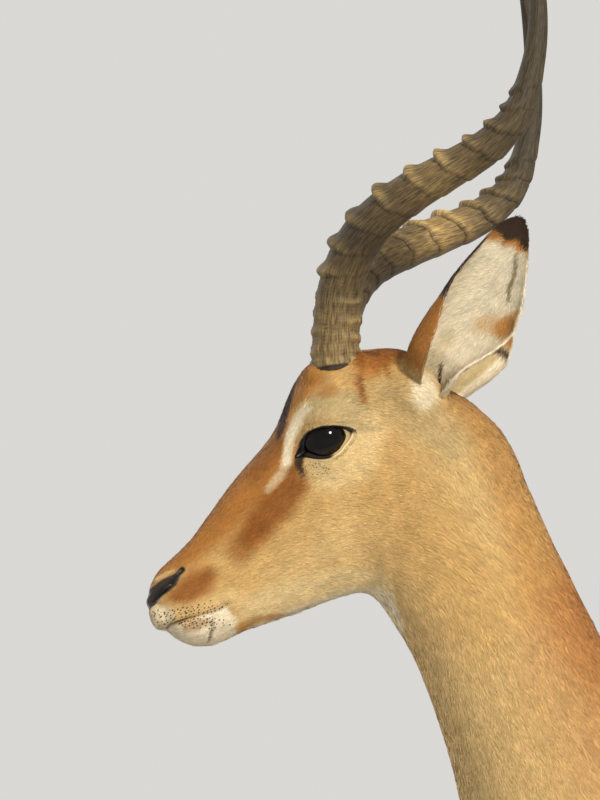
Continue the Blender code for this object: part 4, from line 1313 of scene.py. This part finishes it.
class Hide:
    """The skin as triangles, with what the coat needs to know at each of its points."""

    def __init__(self, mesh):
        self.points, self.normals = points_of(mesh), normals_of(mesh)
        self.edges = read(mesh.edges, "vertices", 2, np.int32)
        self.tree, self.corners = tree_of(mesh)
        self.zones = skin_zones(mesh)
        self.lobe = read(mesh.attributes["Lobe"].data, "vector", 3)
        self.cup = read(mesh.attributes["Cup"].data, "value", 1)[:, None]
        self.bare = read(mesh.attributes["Hidden"].data, "value", 1)
        self.wet = read(mesh.attributes["Wet"].data, "value", 1)
        self.facing = unit(self.normals[self.corners].mean(axis=1))
        self.lie = self.find_lie()
        self.growth = self.find_growth()

    def find_lie(self):
        """Directions from the LIE table, turned round the eyes and along the ears, laid on the skin."""
        places = self.points[:, [0, 2]] / MM
        total = np.zeros((len(places), 2))
        for x, z, dx, dz in LIE:
            near = 1 / (np.hypot(places[:, 0] - x, places[:, 1] - z) ** 3 + 20)
            total += near[:, None] * (dx, dz)
        way = np.zeros_like(self.points)
        way[:, [0, 2]] = unit(total)
        for side in SIDES:
            a, b, out = to_eye(self.points, side).T
            round_eye = ease((36 - np.hypot(a, b)) / 20) * ease((a + 22) / 20) * (out > -20)
            away = unit(np.stack([a, b, np.zeros_like(a)], axis=1)) @ eye_axes(side)
            way += 1.2 * round_eye[:, None] * away
            on_ear = self.zones == ZONES.index("ear_" + side)
            axis, across, _ = ear_axes(side)
            inward = np.where(self.cup > 0.5, ease((0.5 - self.lobe[:, 2:]) / 1.2) * 1.3, 0.1)
            way[on_ear] = (axis + inward * across)[on_ear]
        way = self.laid(way)
        return self.laid(relax(way, self.edges, 6))

    def laid(self, way):
        """The directions laid flat on the skin."""
        return unit(way - self.normals * np.sum(way * self.normals, axis=1)[:, None])

    def find_growth(self):
        """Density, length, width and lift of the tufts at each point."""
        columns = [dict(zip(GROWTH, column)) for column in zip(*GROWTH.values())]
        values = np.stack([by_zone(self.zones, column) for column in columns], axis=1)
        smooth = relax(values, self.edges, 14)
        on_ear = self.zones >= len(FLESH)
        values[~on_ear] = smooth[~on_ear]
        u, _, v = to_head(self.points).T
        on_face = ease((230 - np.hypot(u - 160, v)) / 60) * ~on_ear
        muzzle = ease((95 - u) / 70) * on_face
        values[:, 1] *= 1 - 0.45 * muzzle
        values[:, 2] *= 1 - 0.25 * muzzle
        values[:, 3] *= 1 - 0.45 * muzzle
        for side in SIDES:
            a, b, outward = to_eye(self.points, side).T
            beside_eye = (np.abs(outward) < 30) * (np.hypot(a, b) < 60)
            near = ease((2.1 - lid_share(a, b)) / 0.9) * beside_eye
            values[:, 1] *= 1 - 0.6 * near
            values[:, 3] *= 1 - 0.5 * near
        share, _, turn = self.lobe.T
        inner_front = on_ear * self.cup[:, 0] * ease((0.2 - turn) / 0.8) * ease((0.8 - share) / 0.3)
        at_tip = on_ear * ease((share - 0.75) / 0.15)
        values[:, 1] *= (1 + 1.2 * inner_front) * (1 - 0.45 * at_tip)
        values[:, 3] *= 1 + 1.2 * on_ear * ease((turn - 0.85) / 0.05) * ease((0.7 - share) / 0.1)
        values[:, 0] *= 1 - ease((self.wet - 0.2) / 0.3)
        values[self.bare > 0.5, 0] = 0
        return values


def nearest(hide, places):
    """The nearest place on the skin to each place, and the way out of the skin there."""
    found = [hide.tree.find_nearest(place) for place in places.tolist()]
    ground = np.array([place for place, _, _, _ in found])
    return ground, hide.facing[[face for _, _, face, _ in found]]


def walk(hide, places, out, way, length):
    """Moves the places along the skin in short steps, each staying on the side of it that it is on."""
    steps = 2
    for _ in range(steps):
        ground, facing = nearest(hide, places + way * length / steps)
        holds = np.sum(facing * out, axis=1, keepdims=True) > 0.2
        places, out = np.where(holds, ground, places), np.where(holds, facing, out)
        way = unit(way - out * np.sum(way * out, axis=1, keepdims=True))
    return places, out, way


def blades(hide, roots, out, way, sizes, hollow, rng):
    """Kite-shaped tufts, bent at the middle to follow the skin: four points and four normals for each."""
    length, width, lift = (column[:, None] for column in sizes.T)
    tip = roots + way * length
    ground, tip_out = nearest(hide, tip)
    sag = length / 8 * np.sum((tip_out - out) * way, axis=1, keepdims=True)
    far = np.linalg.norm(ground - tip, axis=1, keepdims=True)
    same_side = np.sum(tip_out * out, axis=1, keepdims=True) > 0.25
    sag = np.where(same_side, sag, 0)
    tip = np.where(same_side & (far < length * 0.5), ground, tip)
    tip = tip + np.where(same_side, tip_out, out) * lift
    roll = rng.normal(0, ROLL, (len(roots), 1))
    beside = np.cross(out, way) * np.cos(roll) + out * np.sin(roll)
    rise = np.clip(sag, -lift, 4 * lift) + 0.35 * lift
    centre = (roots + tip) / 2 + out * rise - way * length * 0.08
    if hollow.any():
        stride = length[hollow] / 2
        mid, mid_out, mid_way = walk(hide, roots[hollow], out[hollow], way[hollow], stride)
        end, end_out, _ = walk(hide, mid, mid_out, mid_way, stride)
        centre[hollow] = mid + mid_out * 0.5 * lift[hollow]
        tip[hollow] = end + end_out * lift[hollow]
    half = beside * width / 2
    points = np.stack([roots - out * ROOT_DEPTH, centre - half, centre + half, tip], axis=1)
    lean = out + rng.normal(0, SCATTER, (len(roots), 3))
    normals = np.stack([lean, lean - ROUNDING * beside, lean + ROUNDING * beside, lean], axis=1)
    return points, unit(normals)


SQUARE_CM = 1e4  # square centimetres in a square metre


def sample(hide, faces, fullness, rng):
    """Roots spread over the chosen triangles by density: their face and their weights at its corners."""
    corners = hide.points[hide.corners[faces]]
    first_edge, last_edge = corners[:, 1] - corners[:, 0], corners[:, 2] - corners[:, 0]
    area = np.linalg.norm(np.cross(first_edge, last_edge), axis=1) / 2
    density = hide.growth[hide.corners[faces], 0].min(axis=1) * SQUARE_CM * fullness
    counts = np.floor(area * density + rng.random(len(faces))).astype(int)
    chosen = np.repeat(faces, counts)
    first, second = np.sqrt(rng.random(len(chosen))), rng.random(len(chosen))
    weights = np.stack([1 - first, first * (1 - second), first * second], axis=1)
    return chosen, weights


UNWRAP_SAMPLE = 4000  # points of a region from which its main axis is found


def unwrap(points, region, side_way):
    """Places on a cylinder round the region: along its main axis, and the angle about it from side_way."""
    centre = region.mean(axis=0)
    spread = (region - centre)[:: max(1, len(region) // UNWRAP_SAMPLE)]
    main = np.linalg.svd(spread, full_matrices=False)[2][0]
    first = unit(side_way - main * (side_way @ main))
    offset = points - centre
    angle = np.arctan2(offset @ np.cross(main, first), offset @ first)
    return np.stack([offset @ main, angle], axis=1)


BAKE_PATCH, BAKE_MARGIN = 0.003, 0.004  # shares of the map's width: a tuft's patch, and the free edge


def add_bake_map(mesh, places):
    """The OFBake map: each tuft is a small patch at its root's place, spread over the whole square."""
    low, high = places.min(axis=0), places.max(axis=0)
    shares = (places - low) / np.maximum(high - low, 1e-6)
    roots = BAKE_MARGIN + (1 - 2 * BAKE_MARGIN) * shares
    kite = np.array([(-1, 0), (0, -1), (0, 1), (1, 0)]) * BAKE_PATCH / 2
    corners = roots[:, None] + kite
    layer = mesh.uv_layers.new(name="OFBake")
    loops = corners[:, [0, 1, 2, 2, 1, 3]].astype(np.float32)
    layer.data.foreach_set("uv", loops.ravel())


def coat_piece(name, points, normals, colours, places, finish):
    count = len(points)
    first = np.arange(count)[:, None] * 4
    faces = np.concatenate([first + (0, 1, 2), first + (2, 1, 3)], axis=1).reshape(-1, 3)
    piece = new_piece(name, points.reshape(-1, 3), faces)
    set_vectors(piece.data, "custom_normal", normals.reshape(-1, 3))
    set_colours(piece.data, np.repeat(colours, 4, axis=0))
    add_bake_map(piece.data, places)
    piece.data.materials.append(finish)
    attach(piece, "root")


MUZZLE_END, CROWN_START = 115, 200  # along the head (millimetres)
SHOULDER_END = 0.02  # along the trunk (metres)


def coat_regions(hide):
    """Name, faces and side of each piece of the coat. The tail is one piece, seen from the right."""
    centre = hide.points[hide.corners].mean(axis=1)
    owner = hide.zones[hide.corners[:, 0]]
    zone = {node: owner == number for number, node in enumerate(ZONES)}
    u, across, _ = to_head(centre).T
    x, y, z = centre.T
    across = np.where(z > LOWEST_HEAD, across, (y - MID_Y) / MM)
    parts = {
        "muzzle": zone["head"] & (u < MUZZLE_END),
        "cheek": zone["head"] & (u >= MUZZLE_END) & (u < CROWN_START),
        "crown": zone["head"] & (u >= CROWN_START),
        "neck": zone["neck"],
        "shoulder": zone["trunk"] & (x < SHOULDER_END),
        "haunch": zone["trunk"] & (x >= SHOULDER_END),
    }
    regions = []
    for side, sign in SIDES.items():
        mine = across * sign > 0
        for name, part in parts.items():
            regions.append((f"coat_{name}_{side}", np.flatnonzero(part & mine), sign))
        for name in ("foreleg_" + side, "hindleg_" + side, "ear_" + side):
            regions.append(("coat_" + name, np.flatnonzero(zone[name]), sign))
    regions.append(("coat_tail", np.flatnonzero(zone["tail"]), SIDES["right"]))
    return regions


class IMPALA_OT_coat(Operator):
    """Cover the skin in short tufts that follow the lie of the coat"""

    bl_idname = "impala.coat"
    bl_label = "Coat"

    def execute(self, context):
        skin = bpy.data.objects.get("skin")
        if skin is None:
            raise RuntimeError("build the skin first")
        settings = context.scene.impala.form
        hide = Hide(skin.data)
        finish = painted("coat", 0.68, 0.16, 700, 0.00002, Sheen_Weight=0.05, Sheen_Roughness=0.5)
        for number, (name, faces, sign) in enumerate(coat_regions(hide)):
            rng = np.random.default_rng(COAT_SEED + number)
            chosen, weights = sample(hide, faces, settings.fullness, rng)
            if len(chosen) > MOST_TUFTS:
                keep = np.sort(rng.choice(len(chosen), MOST_TUFTS, replace=False))
                chosen, weights = chosen[keep], weights[keep]
            corners = hide.corners[chosen]
            fields = (hide.points, hide.normals, hide.lie, hide.growth, hide.lobe, hide.cup)
            roots, out, way, growth, lobe, cup = (
                np.einsum("ij,ijk->ik", weights, values[corners]) for values in fields
            )
            count, cup = len(roots), cup[:, 0]
            in_cup = cup > 0.5
            out = unit(out)
            way = unit(way - out * np.sum(way * out, axis=1)[:, None])
            swing = rng.normal(0, SWING, (count, 1))
            way = way * np.cos(swing) + np.cross(out, way) * np.sin(swing)
            sizes = growth[:, 1:] * MM * np.exp(rng.normal(0, SIZE_SPREAD, (count, 3)))
            sizes[:, 0] *= settings.tuft_length
            points, normals = blades(hide, roots, out, way, sizes, in_cup, rng)
            colours = markings(roots, out, hide.zones[corners[:, 0]], lobe, cup)
            light = np.exp(rng.normal(0, LIGHT_SPREAD, (count, 1)))
            colours *= light * (1 + rng.normal(0, TINT_SPREAD, (count, 3)))
            region = hide.points[np.unique(hide.corners[faces])]
            places = unwrap(roots, region, SIDEWAYS * sign)
            if "ear" in name:
                places[:, 1] += in_cup * 2 * math.pi
            coat_piece(name, points, normals, colours, places, finish)
        return {"FINISHED"}


# ---------------------------------------------------------------- bristles and lashes

# The line of the closed mouth, front to rear, in head places.
MOUTH = ((5, 13, -21), (10, 17, -24), (19, 21, -28), (29, 22, -33), (41, 22, -38), (52, 23, -39))

# Rows of bristles: how far over the mouth line, first and last along the head, spacing (millimetres).
BRISTLE_ROWS = (
    (2.0, 1, 50, 3.0), (4.6, -1, 46, 3.2), (7.2, -1, 40, 3.4), (9.8, 0, 33, 3.4), (12.2, 1, 44, 4.6),
    (14.4, 2, 24, 3.2), (16.8, 3, 16, 3.2), (19.0, 4, 12, 3.2), (21.0, 6, 11, 3.0),
    (-2.4, 7, 26, 2.3), (-4.8, 8, 29, 2.5), (-7.2, 9, 32, 2.8), (-9.8, 11, 34, 3.2),
    (-12.6, 14, 35, 4.2), (-15.6, 17, 36, 5.0),
)
SPECKS = (170, 0, 9, 9)  # the dark specks under the eye: middle along and up, reach along and up
SPECK_TRIES = 46
LASHES = 58


def on_skin(hide, side, along, up):
    """Root, outward way and lie at a place on one side of the head, or None off its edge."""
    start = from_head((along, SIDES[side] * 90, up))
    place, _, face, _ = hide.tree.ray_cast(Vector(start), Vector(-SIDES[side] * SIDEWAYS))
    if place is None or hide.bare[hide.corners[face]].max() > 0.5:
        return None
    return np.array(place), hide.facing[face], hide.lie[hide.corners[face]].mean(axis=0)


def bristle_spots(rng):
    """Place along and up the head and size of each bristle on one side, in millimetres."""
    mouth_along, _, mouth_up = np.transpose(MOUTH)
    spots = []
    for rise, first, last, spacing in BRISTLE_ROWS:
        for along in np.arange(first, last, spacing) + rng.uniform(0, spacing):
            along += rng.normal(0, 0.45)
            up = np.interp(along, mouth_along, mouth_up) + (rise + rng.normal(0, 0.35)) * 0.9
            spots.append((along - 0.35 * rise, up, 1.0))
    along, up, reach_along, reach_up = SPECKS
    for _ in range(SPECK_TRIES):
        a, b = rng.uniform(-1, 1, 2)
        if math.hypot(a, b) < 1:
            a, b = a * reach_along, b * reach_up
            spots.append((along + a - 0.2 * b, up + b - 0.35 * a, 0.62))
    return spots


class IMPALA_OT_bristles(Operator):
    """Set the short dark bristles of the lips and chin, and the lashes of the upper lids"""

    bl_idname = "impala.bristles"
    bl_label = "Bristles and lashes"

    def execute(self, context):
        hide = Hide(bpy.data.objects["skin"].data)
        finish = painted("bristle", 0.5, 0.3, 700, 0.00002)
        tints = palette()
        for number, side in enumerate(SIDES):
            rng = np.random.default_rng(BRISTLE_SEED + number)
            rows = []
            for along, up, size in bristle_spots(rng):
                found = on_skin(hide, side, along, up)
                if found:
                    rows.append((*found, size))
            roots, out, way, size = (np.array(column) for column in zip(*rows))
            size = size[:, None] * MM * np.exp(rng.normal(0, 0.15, (len(rows), 1)))
            roots = roots + out * 0.45 * MM
            beside = np.cross(out, way)
            centre = roots + way * size * 0.8 + out * size * 0.35
            half = beside * size * 0.55
            tip = roots + way * size * 1.7
            bristles = np.stack([roots, centre - half, centre + half, tip], axis=1)
            lashes, lash_out = self.lashes(hide, side, rng)
            points = np.concatenate([bristles, lashes])
            normals = np.repeat(np.concatenate([out, lash_out])[:, None], 4, axis=1)
            colours = np.tile(tints["dark"], (len(points), 1))
            colours[: len(bristles)] *= 1.25
            places = unwrap(points[:, 0], points[:, 0], SIDEWAYS * SIDES[side])
            coat_piece("coat_bristles_" + side, points, normals, colours, places, finish)
        return {"FINISHED"}

    def lashes(self, hide, side, rng):
        """Thin blades along the upper lid, from over the rear corner to over the front one."""
        axes = eye_axes(side)
        turns = np.radians(np.linspace(14, 158, LASHES) + rng.normal(0, 1.0, LASHES))
        blades_of_lid, facing = [], []
        for turn, far in zip(turns, opening_reach(turns)):
            a, b = 1.035 * far * math.cos(turn), 1.035 * far * math.sin(turn)
            start = EYES[side] + np.array([a, b, RAY_START]) * MM @ axes
            root = np.array(hide.tree.ray_cast(Vector(start), Vector(-axes[2]))[0])
            length = rng.uniform(4.5, 7.0) * (1 - 0.35 * abs(math.cos(turn)))
            lean = np.array([0.25 * math.cos(turn) - 0.12, 0.30 * math.sin(turn) + 0.05, 0.9])
            way = unit(lean @ axes)
            drop = np.array([0.1 * math.cos(turn) - 0.1, -0.35, 0.0]) @ axes
            beside = unit(np.cross(way, axes[1])) * 0.26 * MM
            centre = root + way * length * 0.55 * MM + drop * length * 0.25 * MM
            tip = root + way * length * MM * 0.85 + drop * length * 0.75 * MM
            blades_of_lid.append([root - way * MM, centre - beside, centre + beside, tip])
            facing.append(axes[1])
        return np.array(blades_of_lid), np.array(facing)


# ---------------------------------------------------------------- stage

# Camera: the place it looks at from the lips' place (along x, up), its angle and its distance in metres.
LOOK = (0.1205, 0.1713)
CAMERA_RISE = math.radians(-3.5)
CAMERA_DISTANCE = 12.0
CAMERA_LENS = 675.0
FLOOR_SIZE = 400.0  # metres

# Each light: the way it comes from, its colour and its softness (degrees).
KEY_LIGHT = ((0.42, -0.80, 0.46), (1.0, 0.945, 0.85), 9)
FILL_LIGHT = ((-0.65, 0.60, 0.45), (0.92, 0.96, 1.0), 40)


class IMPALA_OT_stage(Operator):
    """Set out the pale floor, the soft light and the camera"""

    bl_idname = "impala.stage"
    bl_label = "Stage"

    def execute(self, context):
        settings = context.scene.impala.stage
        self.floor(settings)
        self.world(context.scene, settings)
        self.lamp("key light", settings.key_light, *KEY_LIGHT)
        self.lamp("fill light", settings.fill_light, *FILL_LIGHT)
        self.camera(context.scene)
        context.scene.view_settings.view_transform = "Standard"
        return {"FINISHED"}

    def floor(self, settings):
        deselect()
        bpy.ops.mesh.primitive_plane_add(size=FLOOR_SIZE, location=(0, 0, 0))
        plane = bpy.context.object
        plane.name = plane.data.name = "floor"
        material, _, shader = nodes_and_shader("floor")
        shader.inputs["Base Color"].default_value = (*settings.floor_colour, 1)
        shader.inputs["Roughness"].default_value = 0.9
        plane.data.materials.append(material)

    def world(self, scene, settings):
        scene.world = bpy.data.worlds.new("studio")
        scene.world.use_nodes = True
        back = scene.world.node_tree.nodes["Background"]
        back.inputs["Color"].default_value = (*settings.room_colour, 1)
        back.inputs["Strength"].default_value = settings.room_light

    def lamp(self, name, strength, source, colour, softness):
        lamp = bpy.data.lights.new(name, "SUN")
        lamp.energy = strength
        lamp.color = colour
        lamp.angle = math.radians(softness)
        holder = bpy.data.objects.new(name, lamp)
        holder.rotation_euler = Vector(source).to_track_quat("Z", "Y").to_euler()
        bpy.context.scene.collection.objects.link(holder)

    def camera(self, scene):
        target = Vector((MUZZLE[0] + LOOK[0], 0, MUZZLE[2] + LOOK[1]))
        back = Vector((0, -math.cos(CAMERA_RISE), math.sin(CAMERA_RISE)))
        lens = bpy.data.cameras.new("camera")
        lens.lens = CAMERA_LENS
        lens.clip_end = 500
        holder = bpy.data.objects.new("camera", lens)
        holder.location = target + back * CAMERA_DISTANCE
        holder.rotation_euler = back.to_track_quat("Z", "Y").to_euler()
        scene.collection.objects.link(holder)
        scene.camera = holder


# ---------------------------------------------------------------- settings, panel and registration


def colour_setting(name, description, shown):
    return FloatVectorProperty(
        name=name, description=description, subtype="COLOR_GAMMA", size=3, min=0, max=1,
        default=[value / BRIGHTEST for value in shown],
    )


def light_setting(name, description, default):
    return FloatProperty(name=name, description=description, default=default)


def surface_setting(name, description, default):
    return FloatVectorProperty(
        name=name, description=description, subtype="COLOR", size=3, default=default,
    )


class ImpalaColours(PropertyGroup):
    """Colours of the coat, horns, eyes and claws."""

    iris: colour_setting("Iris", "Ring round the pupil", (34, 26, 18))
    pupil: colour_setting("Pupil", "Middle of the eye", (9, 8, 8))
    # A lit and a shaded copy of the horn's colour: painted light on the ridges, painted shade in the grooves.
    # The dark one also gives the dark rim at the base.
    horn_lit: colour_setting("Horn, light", "Ridges of the horns", (152, 127, 81))
    horn_dark_and_shade: colour_setting("Horn, dark", "Grooves of the horns", (88, 70, 41))
    hoof: colour_setting("Hoof", "Claws", (44, 38, 34))


for key, ((label, use), shown) in COLOURS.items():
    ImpalaColours.__annotations__[key] = colour_setting(label, use, shown)


class ImpalaForm(PropertyGroup):
    """Sizes of the skin, coat and horn relief."""

    cell: FloatProperty(
        name="Skin cell", description="Cell of the skin's remesh", default=0.0052, unit="LENGTH",
    )
    fullness: FloatProperty(
        name="Fullness", description="Share of the coat's tufts grown", default=1.0, min=0.02, max=1.0,
    )
    tuft_length: FloatProperty(
        name="Tuft length", description="Factor on every tuft's length", default=1.0, min=0.2, max=2,
    )
    ring_height: FloatProperty(
        name="Ring height", description="Tallest knob of a horn", default=0.0048, unit="LENGTH",
    )


class ImpalaStage(PropertyGroup):
    """Floor and lights."""

    floor_colour: surface_setting("Floor", "Colour of the floor", (0.62, 0.61, 0.59))
    room_colour: surface_setting("Room", "Colour of the walls all round", (0.94, 0.93, 0.90))
    room_light: light_setting("Room light", "Light from all round", 0.74)
    key_light: light_setting("Key light", "Strength of the warm main light", 3.15)
    fill_light: light_setting("Fill light", "Strength of the light from behind", 0.7)


class ImpalaSettings(PropertyGroup):
    """All settings of the impala."""

    colours: PointerProperty(type=ImpalaColours)
    form: PointerProperty(type=ImpalaForm)
    stage: PointerProperty(type=ImpalaStage)


class IMPALA_PT_panel(Panel):
    """Lists the steps that build the animal"""

    bl_idname = "IMPALA_PT_panel"
    bl_label = "Impala ram"
    bl_space_type = "VIEW_3D"
    bl_region_type = "UI"
    bl_category = "Impala"

    def draw(self, context):
        settings = context.scene.impala
        for group in (settings.form, settings.colours, settings.stage):
            box = self.layout.box()
            for key in group.__annotations__:
                box.prop(group, key)
        for operator in OPERATORS:
            self.layout.operator(operator.bl_idname)


OPERATORS = (
    IMPALA_OT_stage, IMPALA_OT_skin, IMPALA_OT_eyes, IMPALA_OT_horns,
    IMPALA_OT_hooves, IMPALA_OT_coat, IMPALA_OT_bristles,
)
CLASSES = (ImpalaColours, ImpalaForm, ImpalaStage, ImpalaSettings, *OPERATORS, IMPALA_PT_panel)


def register():
    for item in CLASSES:
        bpy.utils.register_class(item)
    bpy.types.Scene.impala = PointerProperty(type=ImpalaSettings)


def unregister():
    del bpy.types.Scene.impala
    for item in reversed(CLASSES):
        bpy.utils.unregister_class(item)


def main():
    register()
    bpy.ops.impala.stage()
    bpy.ops.impala.skin()
    bpy.ops.impala.eyes()
    bpy.ops.impala.horns()
    bpy.ops.impala.hooves()
    bpy.ops.impala.coat()
    bpy.ops.impala.bristles()
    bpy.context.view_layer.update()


if __name__ == "__main__":
    main()
